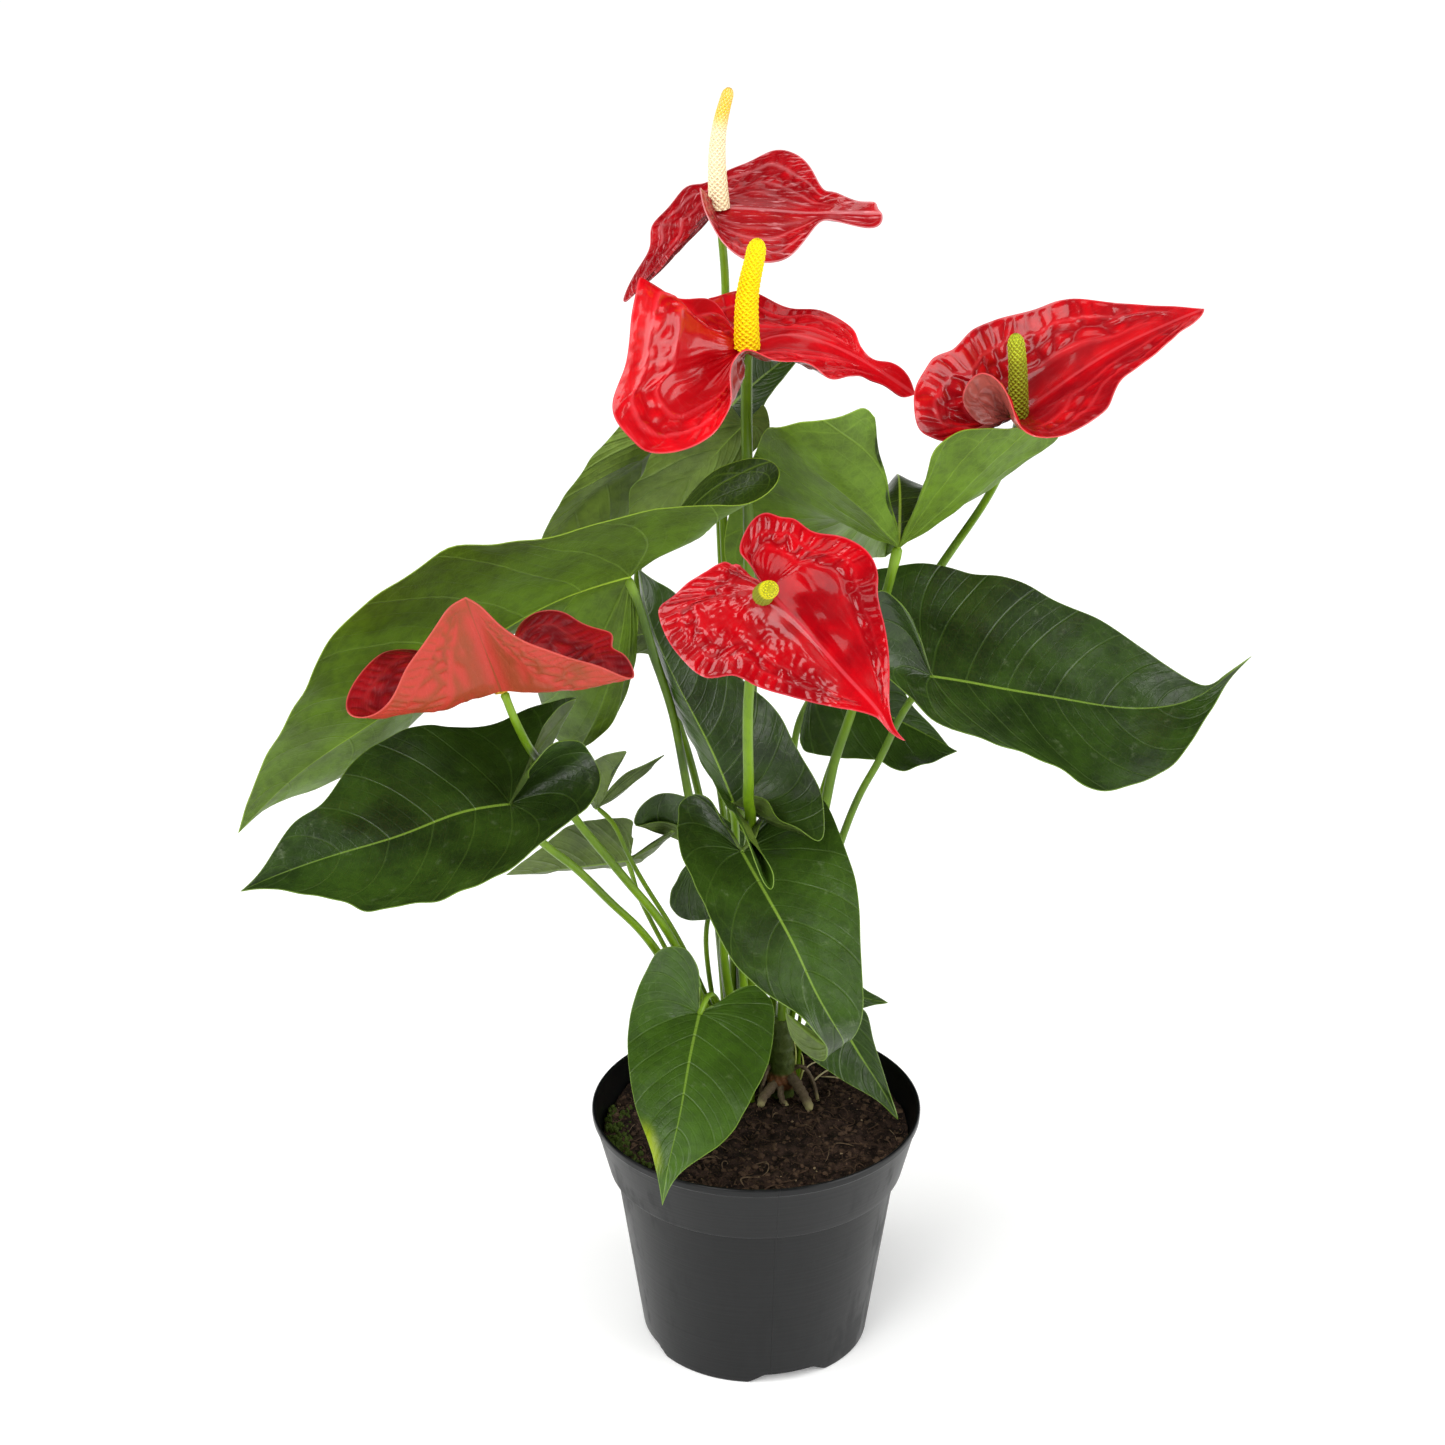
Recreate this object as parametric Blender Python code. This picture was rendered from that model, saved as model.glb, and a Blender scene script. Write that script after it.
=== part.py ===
"""Potted anthurium: heart-shaped leaves and red spathes on stalks, rooted in a round grow pot.

Metres, +Z up, -Y to the front. The origin is on the pot's axis at the plane that the pot stands on.
A blade is drawn by its midrib and its two margins, from the notch round the lobe to the tip. Each half
is a ruled grid from midrib to margin, slightly bowed, and the whole sheet is given its thickness along
the surface normal, with both faces split into the same triangles. Plant points are in millimetres.
"""
import bpy
import bmesh
import numpy as np

MM = 0.001
GAP = 0.3

# pot: radii and heights in millimetres
RIM_R = 85.0
POT_H = 133.2
COLLAR_R = 76.6
COLLAR_Z = 99.1
BODY_TOP_R = 73.0
BODY_BASE_R = 58.6
BASE_CHAMFER = 1.0
POT_WALL = 1.5
POT_FLOOR = 7.0
FLOOR_R = 58.1
FOOT_NOTCHES = 4
FOOT_NOTCH_H = 5.3
FOOT_NOTCH_W = 26.0
FOOT_NOTCH_SLOPE = 9.0
FOOT_NOTCH_R = 50.0
FOOT_NOTCH_REACH = 20.0
FOOT_NOTCH_TURN = -73.0
POT_SIDES = 54
SOIL_SIDES = 48

# soil
SOIL_Z = 118.0
SOIL_DOME = 1.5
STALK_HOLE_CLEAR = 0.7
STALK_HOLE_DEPTH = 13.0

# crown: the thick stem that the stalks rise from
CROWN_X = 14.0
CROWN_Y = 33.0
CROWN_HOLE_R = 7.0
CROWN_PROFILE = [(5.6, 108.0), (6.4, 114.0), (6.6, 124.0), (7.7, 127.0), (7.7, 130.0), (6.5, 133.0),
                 (6.1, 146.0), (5.6, 156.0), (5.1, 164.0)]
CROWN_SOCKET_R = 3.8
CROWN_SOCKET_Z = 122.0
CROWN_SIDES = 16
ROOT_SIDES = 8
ROOTS = [
    [(12, 31, 124), (8, 25, 125), (4, 19, 122), (2, 16, 121)],
    [(17, 31, 126), (21, 25, 127), (26, 19, 123), (29, 15, 121)],
    [(14, 30, 121), (13, 23, 122), (16, 19, 121), (19, 21, 120)],
]
ROOT_R = [(2.9, 2.0), (3.2, 2.2), (1.9, 1.3)]

# plant sheets and stalks
LEAF_T = 0.8
SPATHE_T = 1.0
MID_ROWS = 7
MID_PULL = 1.15
LOBE_AHEAD = 0.1
ACROSS = 3
STALK_SIDES = 6
STALK_ROWS = 12
STALK_SUNK = 1.5
SPADIX_SIDES = 9
SPADIX_ROWS = 7
SPADIX_SUNK = 2.0

# Each leaf: midrib from junction to tip, then the right and left margins seen from the junction on the
# upper face, each from the notch round the lobe to just short of the tip. stalk runs down into the soil.
LEAVES = {
    "leaf_left_high": dict(
        mid=[(-62, -10, 431), (-109, -22, 417), (-174, -40, 376), (-219, -50, 347), (-251, -50, 313)],
        right=[(-58, -5, 421), (-59, 3, 392), (-64, 12, 361), (-84, 20, 327), (-102, 32, 326),
               (-113, 50, 361), (-126, 60, 374), (-168, 40, 342), (-179, 0, 337), (-209, -22, 326),
               (-236, -38, 322)],
        left=[(-53, -2, 437), (-33, 8, 466), (-11, -6, 488), (7, -22, 492), (9, -30, 488),
              (-5, -44, 481), (-31, -52, 482), (-62, -62, 481), (-100, -70, 473), (-124, -76, 472),
              (-141, -80, 471), (-173, -85, 453), (-196, -86, 431), (-215, -80, 395), (-236, -66, 355)],
        stalk=[(-61, -8, 430), (-57, -6, 411), (-50, -4, 384), (-42, -2, 355), (-34, 6, 305),
               (-26, 10, 267), (-19, 14, 226), (-11, 37, 134), (-11, 37, 121), (-11, 37, 106)],
        stalk_r=(2.0, 2.6), bow=(-0.06, 0), fan=8),
    "leaf_left_low": dict(
        mid=[(-118, -72, 339), (-142, -80, 338), (-167, -90, 332), (-196, -98, 326), (-224, -106, 319),
             (-242, -112, 313)],
        right=[(-115, -72, 345), (-110, -66, 355), (-107, -58, 363), (-100, -50, 374), (-92, -42, 378),
               (-87, -32, 376), (-106, -14, 365), (-120, -12, 358), (-137, -20, 355), (-162, -36, 363),
               (-176, -46, 362), (-193, -60, 355), (-206, -85, 345), (-218, -92, 339), (-232, -106, 322)],
        left=[(-113, -76, 349), (-105, -86, 367), (-96, -86, 378), (-86, -80, 377), (-80, -70, 365),
              (-75, -76, 357), (-77, -84, 350), (-85, -98, 345), (-100, -118, 342), (-117, -132, 333),
              (-135, -138, 328), (-149, -140, 323), (-163, -142, 322), (-180, -140, 316),
              (-192, -132, 317), (-215, -122, 318), (-231, -115, 316)],
        stalk=[(-117, -70, 337), (-103, -60, 312), (-89, -46, 292), (-71, -24, 260), (-51, 0, 222),
               (-18, 24, 134), (-18, 24, 121), (-18, 24, 106)],
        stalk_r=(1.9, 2.4), bow=(-0.02, -0.06), fan=11),
    "leaf_front_low": dict(
        mid=[(-29, -20, 197), (-34, -45, 184), (-39, -72, 166), (-44, -88, 150), (-47, -97, 132)],
        right=[(-30, -18, 203), (-29, -16, 217), (-34, -12, 228), (-41, -10, 230), (-49, -10, 228),
               (-55, -12, 219), (-61, -18, 206), (-65, -25, 191), (-64, -45, 177), (-60, -62, 165),
               (-54, -76, 155), (-49, -90, 142)],
        left=[(-27, -18, 198), (-20, -14, 199), (-11, -6, 202), (-2, -2, 203), (4, -6, 201),
              (8, -14, 199), (8, -30, 191), (3, -52, 180), (-8, -70, 166), (-21, -82, 156),
              (-39, -90, 145)],
        stalk=[(-29, -17, 197), (-23, -8, 201), (-11, 24, 134), (-11, 24, 121), (-11, 24, 106)],
        stalk_r=(1.4, 1.8), bow=(-0.06, -0.06), fan=8),
    "leaf_front_mid": dict(
        mid=[(-8, -46, 301), (4, -74, 291), (17, -98, 276), (27, -114, 260), (37, -123, 245),
             (40, -120, 236), (32, -104, 226), (13, -86, 234)],
        right=[(-10, -46, 303), (-14, -44, 310), (-18, -42, 317), (-23, -36, 323), (-31, -32, 325),
               (-38, -34, 321), (-39, -41, 317), (-39, -53, 310), (-35, -65, 304), (-31, -72, 300),
               (-25, -88, 291), (-16, -103, 278), (-6, -112, 268), (7, -120, 261), (20, -124, 253),
               (28, -124, 243), (33, -120, 233), (32, -112, 223), (29, -104, 218), (21, -94, 218),
               (15, -88, 226)],
        left=[(-4, -44, 303), (1, -40, 310), (6, -27, 315), (15, -12, 318), (25, -12, 319),
              (33, -20, 315), (42, -53, 306), (47, -73, 295), (48, -95, 277), (49, -111, 260),
              (48, -121, 249), (44, -117, 237), (38, -105, 229), (26, -93, 228)],
        stalk=[(-8, -46, 302), (-9, -34, 287), (-13, -14, 258), (-17, 2, 224), (-7, 31, 134),
               (-7, 31, 121), (-7, 31, 106)],
        stalk_r=(2.0, 2.6), bow=(-0.06, -0.06), fan=8),
    "leaf_centre": dict(
        mid=[(-12, -24, 316), (-23, -20, 343), (-34, -14, 364), (-46, -6, 387), (-54, 4, 407),
             (-58, 8, 427)],
        right=[(-7, -27, 321), (3, -40, 326), (10, -50, 320), (20, -56, 317), (28, -58, 312),
               (31, -56, 313), (32, -48, 319), (30, -36, 329), (19, -22, 345), (8, -12, 362),
               (-4, -4, 370), (-21, 4, 386), (-33, 10, 402), (-41, 12, 413), (-50, 12, 419)],
        left=[(-12, -35, 317), (-9, -53, 319), (-1, -69, 315), (7, -80, 306), (6, -82, 299),
              (2, -84, 305), (-5, -80, 321), (-11, -58, 326), (-19, -20, 319), (-30, 0, 336),
              (-42, 8, 355), (-49, 12, 370), (-52, 14, 384), (-57, 14, 413)],
        stalk=[(-12, -22, 314), (-11, -10, 295), (-10, 6, 253), (-3, 24, 134), (-3, 24, 121),
               (-3, 24, 106)],
        stalk_r=(1.9, 2.4), bow=(-0.04, 0), fan=11),
    "leaf_right": dict(
        mid=[(84, -10, 378), (101, -5, 373), (120, 0, 367), (147, 5, 360), (173, 8, 354), (192, 8, 353),
             (208, 5, 357), (219, 2, 364), (227, 0, 372), (240, -2, 385)],
        right=[(80, -12, 390), (75, -14, 407), (68, -16, 419), (59, -14, 425), (52, -14, 417),
               (52, -16, 400), (58, -20, 385), (74, -26, 373), (83, -32, 366), (92, -36, 363),
               (105, -40, 360), (124, -46, 354), (148, -50, 344), (159, -50, 337), (169, -46, 334),
               (184, -38, 334), (202, -26, 339), (214, -14, 350), (223, -6, 361), (229, -1, 370)],
        left=[(79, -6, 387), (71, 2, 400), (62, 12, 409), (55, 20, 414), (54, 28, 417), (63, 34, 417),
              (71, 38, 417), (87, 42, 416), (106, 44, 410), (126, 44, 407), (148, 40, 397),
              (167, 36, 390), (186, 28, 380), (199, 18, 374), (210, 10, 369), (219, 4, 367),
              (227, 0, 373)],
        stalk=[(83, -8, 376), (75, 0, 361), (66, 8, 338), (59, 13, 319), (47, 20, 288), (16, 57, 134),
               (16, 57, 121), (16, 57, 106)],
        stalk_r=(1.8, 2.3), bow=(-0.06, -0.06), fan=8),
    "leaf_right_high": dict(
        mid=[(67, -5, 444), (69, 28, 451), (70, 62, 453), (70, 95, 442), (69, 125, 408), (68, 140, 381)],
        right=[(69, -8, 449), (73, -16, 463), (77, -26, 481), (79, -34, 497), (83, -36, 506),
               (90, -34, 511), (100, -30, 512), (115, -20, 508), (130, -8, 506), (140, 0, 502),
               (143, 4, 496), (139, 6, 490), (125, 10, 480), (116, 20, 469), (100, 60, 443),
               (86, 105, 410)],
        left=[(64, -8, 449), (61, -14, 461), (56, -24, 483), (52, -34, 507), (52, -38, 519),
              (48, -42, 526), (42, -46, 525), (32, -50, 523), (18, -50, 521), (6, -32, 513),
              (2, -18, 506), (-2, 3, 487), (-8, 18, 469), (-13, 27, 452), (-16, 29, 438), (-16, 31, 424),
              (-10, 36, 412), (6, 50, 404), (30, 76, 396), (52, 108, 390)],
        stalk=[(66, -3, 442), (61, 0, 414), (46, 10, 349), (39, 15, 323), (35, 19, 299), (12, 50, 134),
               (12, 50, 121), (12, 50, 106)],
        stalk_r=(2.2, 3.0), bow=(-0.06, -0.06), fan=8),
    "leaf_right_back": dict(
        mid=[(29, 50, 344), (47, 54, 337), (73, 52, 326), (102, 46, 312)],
        right=[(26, 44, 341), (22, 40, 329), (23, 36, 318), (29, 34, 316), (42, 32, 315), (57, 30, 315),
               (64, 30, 313), (73, 28, 309), (79, 30, 310), (88, 34, 311), (96, 42, 311)],
        left=[(28, 53, 348), (22, 56, 358), (27, 58, 371), (42, 60, 376), (57, 60, 367), (70, 58, 355),
              (75, 56, 342), (79, 54, 334), (91, 50, 322), (98, 47, 314)],
        stalk=[(28, 52, 342), (22, 56, 325), (17, 54, 281), (8, 57, 134), (8, 57, 121), (8, 57, 106)],
        stalk_r=(1.7, 2.2), bow=(-0.06, -0.06), fan=8),
    "leaf_back_left": dict(
        mid=[(-44, 40, 486), (-55, 38, 475), (-76, 42, 458), (-93, 48, 439), (-114, 58, 398)],
        right=[(-41, 44, 480), (-46, 50, 470), (-53, 54, 465), (-57, 56, 462), (-62, 58, 451),
               (-64, 60, 440), (-68, 62, 423), (-79, 62, 410), (-96, 60, 400)],
        left=[(-46, 40, 490), (-53, 40, 498), (-63, 36, 494), (-74, 32, 483), (-81, 30, 476),
              (-85, 30, 469), (-92, 32, 459), (-98, 36, 449), (-107, 46, 426)],
        stalk=[(-43, 42, 484), (-42, 56, 460), (-59, 68, 408), (-54, 70, 358), (-29, 66, 275),
               (-15, 57, 134), (-15, 57, 121), (-15, 57, 106)],
        stalk_r=(1.8, 2.3), bow=(-0.06, -0.06), fan=8),
    "leaf_back_centre": dict(
        mid=[(-7, 34, 492), (-18, 32, 481), (-27, 32, 471), (-39, 34, 461), (-48, 36, 448),
             (-60, 40, 429), (-72, 46, 414)],
        right=[(-3, 34, 495), (2, 38, 500), (5, 36, 493), (4, 34, 486), (-3, 32, 478), (-18, 30, 464),
               (-33, 32, 451), (-53, 40, 429)],
        left=[(-11, 34, 496), (-18, 34, 504), (-28, 32, 502), (-38, 28, 493), (-52, 26, 479),
              (-56, 26, 469), (-62, 28, 461), (-63, 32, 447), (-68, 40, 429)],
        stalk=[(-8, 36, 490), (-10, 42, 465), (-11, 44, 438), (-11, 44, 412), (-9, 44, 341),
               (-7, 44, 134), (-7, 44, 121), (-7, 44, 106)],
        stalk_r=(2.0, 2.5), bow=(-0.06, -0.06), fan=8),
    "leaf_back_high": dict(
        mid=[(-18, 80, 480), (-3, 82, 495), (13, 84, 508), (28, 84, 521)],
        right=[(-15, 78, 476), (-11, 74, 467), (-5, 72, 470), (4, 72, 489), (14, 76, 502), (22, 80, 512)],
        left=[(-23, 82, 481), (-31, 86, 486), (-34, 90, 498), (-21, 94, 512), (-4, 94, 517),
              (14, 90, 520)],
        stalk=[(-18, 82, 478), (-19, 85, 444), (-18, 84, 401), (-15, 80, 325), (-11, 64, 134),
               (-11, 64, 121), (-11, 64, 106)],
        stalk_r=(1.8, 2.3), bow=(-0.06, -0.06), fan=8),
    "leaf_small_left": dict(
        mid=[(-80, -5, 305), (-84, 25, 295), (-89, 45, 289), (-93, 60, 284)],
        right=[(-78, -6, 308), (-67, -4, 321), (-53, 0, 327), (-46, 4, 329), (-51, 10, 322),
               (-64, 25, 305), (-77, 40, 289), (-86, 52, 282)],
        left=[(-78, -8, 310), (-74, -16, 326), (-69, -22, 337), (-64, -28, 346), (-71, -26, 344),
              (-79, -20, 338), (-88, -5, 324), (-94, 20, 305), (-95, 42, 291)],
        stalk=[(-79, -4, 304), (-72, -8, 298), (-65, -8, 282), (-52, 8, 247), (-37, 16, 214),
               (-15, 44, 134), (-15, 44, 121), (-15, 44, 106)],
        stalk_r=(1.1, 1.5), bow=(-0.06, -0.06), fan=8),
    "leaf_small_low_left": dict(
        mid=[(-64, 8, 270), (-82, 7, 268), (-99, 5, 267), (-126, 2, 264)],
        right=[(-62, 10, 269), (-51, 12, 277), (-42, 10, 285), (-45, 16, 278), (-57, 26, 261),
               (-75, 30, 255), (-95, 26, 256), (-112, 14, 259)],
        left=[(-63, 6, 275), (-63, 2, 285), (-62, 2, 294), (-71, 0, 297), (-85, -2, 296), (-95, -4, 293),
              (-104, -6, 286), (-116, -4, 275)],
        stalk=[(-63, 8, 269), (-62, 12, 255), (-58, 16, 240), (-18, 37, 134), (-18, 37, 121),
               (-18, 37, 106)],
        stalk_r=(1.1, 1.5), bow=(-0.06, -0.06), fan=8),
    "leaf_low_back": dict(
        mid=[(-26, 34, 262), (-14, 38, 253), (3, 36, 245), (20, 30, 238)],
        right=[(-29, 34, 257), (-34, 30, 257), (-39, 26, 252), (-44, 24, 240), (-42, 26, 230),
               (-36, 30, 224), (-25, 34, 222), (-8, 36, 224), (7, 34, 229)],
        left=[(-29, 30, 268), (-35, 24, 278), (-43, 18, 285), (-53, 12, 289), (-61, 8, 289),
              (-60, 6, 297), (-55, 8, 302), (-47, 14, 303), (-39, 22, 299), (-26, 30, 289),
              (-8, 36, 272), (8, 36, 254)],
        stalk=[(-26, 36, 259), (-23, 44, 228), (-26, 44, 205), (-18, 50, 134), (-18, 50, 121),
               (-18, 50, 106)],
        stalk_r=(1.2, 1.5), bow=(-0.06, -0.06), fan=8),
    "leaf_low_right": dict(
        mid=[(42, 15, 176), (52, 5, 161), (64, -5, 145), (73, -12, 130)],
        right=[(38, 12, 181), (32, 10, 182), (25, 8, 174), (23, 6, 164), (27, 4, 158), (34, 2, 153),
               (48, -2, 145), (62, -8, 139), (70, -12, 133)],
        left=[(46, 16, 180), (52, 20, 179), (57, 18, 176), (60, 10, 167), (65, 0, 153), (69, -8, 142)],
        stalk=[(41, 17, 176), (31, 24, 170), (21, 40, 128), (21, 40, 121), (21, 40, 106)],
        stalk_r=(1.0, 1.3), bow=(-0.06, -0.06), fan=8),
    "leaf_low_right_back": dict(
        mid=[(36, 42, 177), (52, 38, 175), (69, 34, 173)],
        right=[(37, 40, 173), (44, 36, 168), (55, 35, 169), (63, 34, 172)],
        left=[(38, 44, 182), (47, 46, 183), (57, 42, 177), (64, 37, 175)],
        stalk=[(36, 43, 176), (26, 42, 170), (23, 47, 128), (23, 47, 121), (23, 47, 106)],
        stalk_r=(0.9, 1.2), bow=(-0.06, -0.06), fan=8),
    "leaf_back_left_low": dict(
        mid=[(-36, 44, 381), (-54, 46, 378), (-74, 48, 373), (-97, 50, 363)],
        right=[(-35, 46, 376), (-33, 50, 363), (-41, 52, 359), (-54, 52, 362), (-69, 52, 363),
               (-84, 52, 362)],
        left=[(-35, 42, 386), (-32, 40, 395), (-38, 38, 401), (-53, 38, 403), (-71, 42, 394),
              (-86, 46, 379)],
        stalk=[(-35, 46, 379), (-26, 48, 329), (-15, 42, 258), (-11, 50, 134), (-11, 50, 121),
               (-11, 50, 106)],
        stalk_r=(1.6, 2.1), bow=(-0.06, -0.06), fan=8),
}

LIGHT_LEAVES = ("leaf_left_high", "leaf_right_high")

BLOOMS = {
    "top": dict(
        mid=[(-20, 50, 595), (5, 45, 595), (25, 36, 596), (35, 30, 598), (46, 26, 599), (57, 22, 600)],
        right=[(-22, 46, 598), (-27, 40, 603), (-28, 36, 608), (-27, 31, 602), (-24, 27, 595),
               (-18, 22, 586), (-8, 16, 579), (6, 12, 580), (14, 14, 583), (21, 19, 590), (28, 20, 597),
               (35, 18, 597), (44, 18, 594), (54, 18, 594), (57, 19, 597)],
        left=[(-24, 54, 590), (-37, 58, 575), (-53, 62, 556), (-65, 66, 543), (-60, 76, 554),
              (-53, 84, 566), (-52, 90, 574), (-44, 92, 583), (-35, 92, 593), (-26, 88, 596),
              (-15, 88, 602), (-4, 90, 606), (8, 90, 611), (18, 82, 612), (25, 68, 609), (31, 48, 604),
              (36, 36, 606), (47, 28, 604), (54, 26, 604), (55, 24, 602)],
        stalk=[(-19, 51, 592), (-18, 50, 583), (-16, 52, 552), (-18, 58, 516), (-18, 62, 474),
               (-17, 64, 431), (-11, 68, 331), (-2, 62, 231), (-3, 64, 134), (-3, 64, 121), (-3, 64, 106)],
        spadix=[(-19, 49, 597), (-20, 47, 619), (-18, 45, 639), (-14, 44, 654)],
        spadix_r=(5.0, 2.6),
        stalk_r=(1.9, 2.3), bow=(-0.06, -0.06), fan=8),
    "centre": dict(
        mid=[(-7, -5, 543), (10, 5, 546), (28, 6, 543), (45, 4, 536), (57, 6, 528), (74, 10, 515)],
        right=[(-12, 0, 549), (-16, 4, 555), (-23, 6, 562), (-33, 0, 565), (-43, -10, 570),
               (-50, -20, 577), (-55, -28, 584), (-57, -38, 576), (-59, -46, 565), (-62, -54, 548),
               (-67, -60, 536), (-65, -64, 527), (-56, -66, 516), (-48, -66, 513), (-32, -62, 514),
               (-23, -56, 517), (-18, -50, 521),
               (-14, -42, 530), (-13, -34, 541), (-10, -30, 546), (-6, -29, 548), (2, -29, 546),
               (11, -29, 544), (22, -29, 542), (31, -28, 535), (39, -22, 534), (45, -12, 532),
               (51, -4, 527), (59, 2, 522), (67, 6, 515)],
        left=[(-7, 4, 544), (-12, 14, 547), (-20, 26, 552), (-24, 36, 554), (-20, 42, 554),
              (-10, 44, 555), (2, 44, 552), (14, 38, 550), (27, 30, 550), (39, 22, 547),
              (46, 14, 543), (48, 8, 539), (54, 8, 533), (62, 10, 531), (70, 10, 525)],
        stalk=[(-6, -4, 541), (-6, 1, 505), (-5, 6, 455), (-4, 10, 399), (-3, 12, 356), (-3, 14, 292),
               (-3, 37, 134), (-3, 37, 121), (-3, 37, 106)],
        spadix=[(-6, -8, 546), (-6, -10, 568), (-3, -12, 586), (-1, -13, 598)],
        spadix_r=(5.9, 4.0),
        stalk_r=(2.6, 2.9), bow=(-0.06, -0.06), fan=12),
    "right": dict(
        mid=[(122, 0, 508), (143, 12, 519), (166, 18, 533), (190, 20, 545), (210, 20, 554)],
        right=[(119, -6, 508), (105, -16, 509), (98, -22, 517), (95, -26, 527), (100, -28, 537),
               (106, -32, 537), (112, -36, 531), (116, -40, 524), (120, -44, 518), (128, -48, 515),
               (139, -48, 515), (152, -42, 520), (161, -32, 526), (166, -22, 531), (177, -12, 536),
               (190, -2, 543), (197, 6, 547), (208, 16, 552)],
        left=[(114, -6, 508), (103, -14, 507), (89, -24, 504), (79, -28, 508), (74, -28, 512),
              (71, -26, 522), (72, -22, 528), (77, -16, 535), (82, -10, 540), (91, -4, 542),
              (98, 6, 547), (107, 12, 550), (120, 20, 551), (131, 26, 552), (141, 32, 554),
              (150, 36, 554), (162, 36, 553), (183, 32, 552), (199, 26, 553)],
        stalk=[(123, 2, 506), (122, 18, 489), (112, 44, 449), (92, 60, 408), (63, 78, 343), (44, 80, 300),
               (34, 74, 271), (23, 60, 220), (12, 64, 134), (12, 64, 121), (12, 64, 106)],
        spadix=[(122, -2, 510), (121, -4, 531), (119, -5, 550)],
        spadix_r=(4.8, 3.6),
        stalk_r=(2.0, 2.5), bow=(-0.06, -0.06), fan=8),
    "front": dict(
        mid=[(2, -100, 460), (22, -113, 443), (40, -122, 425), (54, -127, 410), (59, -129, 402),
             (65, -129, 398)],
        right=[(-1, -99, 464), (-9, -94, 467), (-15, -91, 470), (-19, -89, 468), (-24, -90, 465),
               (-33, -92, 460), (-40, -94, 454), (-46, -95, 449), (-46, -97, 444), (-42, -103, 436),
               (-34, -110, 428), (-24, -115, 423), (-13, -117, 425), (-3, -119, 421), (14, -123, 417),
               (34, -126, 413), (52, -128, 409), (57, -128, 403)],
        left=[(0, -99, 464), (-5, -97, 470), (-9, -93, 475), (-8, -88, 481), (-3, -84, 488),
              (3, -82, 490), (9, -82, 488), (15, -82, 487), (23, -84, 482), (34, -84, 480),
              (42, -84, 477), (49, -86, 472), (53, -90, 464), (53, -96, 456), (56, -104, 443),
              (58, -112, 428), (58, -119, 415), (60, -126, 404)],
        stalk=[(2, -97, 457), (0, -90, 441), (-5, -74, 399), (-5, -58, 345), (-5, -51, 331),
               (-4, -43, 320), (-4, -32, 308), (-4, -22, 295), (-5, -15, 281), (0, -4, 236),
               (14, 33, 186), (14, 33, 169), (14, 33, 124)],
        spadix=[(1, -104, 459), (2, -122, 468), (4, -142, 477)],
        spadix_r=(4.6, 3.5),
        stalk_r=(2.4, 3.0), bow=(-0.06, -0.06), fan=8),
    "left": dict(
        mid=[(-118, -110, 415), (-122, -124, 437), (-126, -136, 457), (-130, -144, 474)],
        right=[(-123, -100, 413), (-143, -80, 414), (-159, -74, 419), (-171, -78, 421), (-178, -84, 419),
               (-185, -94, 414), (-189, -104, 408), (-188, -112, 405), (-183, -118, 405),
               (-168, -128, 416), (-159, -134, 434), (-151, -138, 448), (-143, -141, 460),
               (-136, -144, 470)],
        left=[(-115, -100, 414), (-113, -84, 423), (-111, -78, 431), (-104, -74, 438), (-91, -74, 438),
              (-83, -78, 435), (-73, -84, 434), (-68, -88, 433), (-68, -94, 430), (-63, -100, 429),
              (-58, -108, 424), (-59, -114, 423), (-77, -126, 434), (-96, -134, 445), (-113, -140, 457),
              (-124, -144, 470)],
        stalk=[(-118, -110, 413), (-113, -108, 401), (-108, -86, 376), (-105, -68, 361), (-101, -52, 346),
               (-98, -42, 333), (-89, -36, 314), (-75, -26, 289), (-60, -12, 261), (-43, 4, 226),
               (-15, 31, 134), (-15, 31, 121), (-15, 31, 106)],
        spadix=[(-118, -106, 415), (-122, -106, 428), (-126, -108, 442)],
        spadix_r=(4.4, 3.2),
        stalk_r=(1.9, 2.4), bow=(-0.06, -0.06), fan=8),
}


def unit(v):
    return v / np.maximum(np.linalg.norm(v, axis=-1, keepdims=True), 1e-9)


def smooth_line(points, samples=400):
    """Natural cubic through the points, resampled evenly by length."""
    p = np.asarray(points, float)
    n = len(p)
    c = np.concatenate([[0.0], np.cumsum(np.sqrt(np.linalg.norm(np.diff(p, axis=0), axis=1)))])
    c = c / c[-1]
    h = np.diff(c)
    a = np.eye(n)
    b = np.zeros((n, 3))
    for i in range(1, n - 1):
        a[i, i - 1:i + 2] = h[i - 1], 2 * (h[i - 1] + h[i]), h[i]
        b[i] = 6 * ((p[i + 1] - p[i]) / h[i] - (p[i] - p[i - 1]) / h[i - 1])
    m = np.linalg.solve(a, b)
    t = np.linspace(0, 1, samples)
    i = np.clip(np.searchsorted(c, t, "right") - 1, 0, n - 2)
    hi = h[i][:, None]
    u = (c[i + 1] - t)[:, None]
    v = (t - c[i])[:, None]
    q = (m[i] * u**3 + m[i + 1] * v**3) / (6 * hi)
    q += (p[i] / hi - m[i] * hi / 6) * u + (p[i + 1] / hi - m[i + 1] * hi / 6) * v
    return at_fraction(q, np.linspace(0, 1, samples))


def at_fraction(line, f):
    s = np.concatenate([[0.0], np.cumsum(np.linalg.norm(np.diff(line, axis=0), axis=1))])
    return np.stack([np.interp(f, s / s[-1], line[:, k]) for k in range(3)], axis=1)


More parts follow.
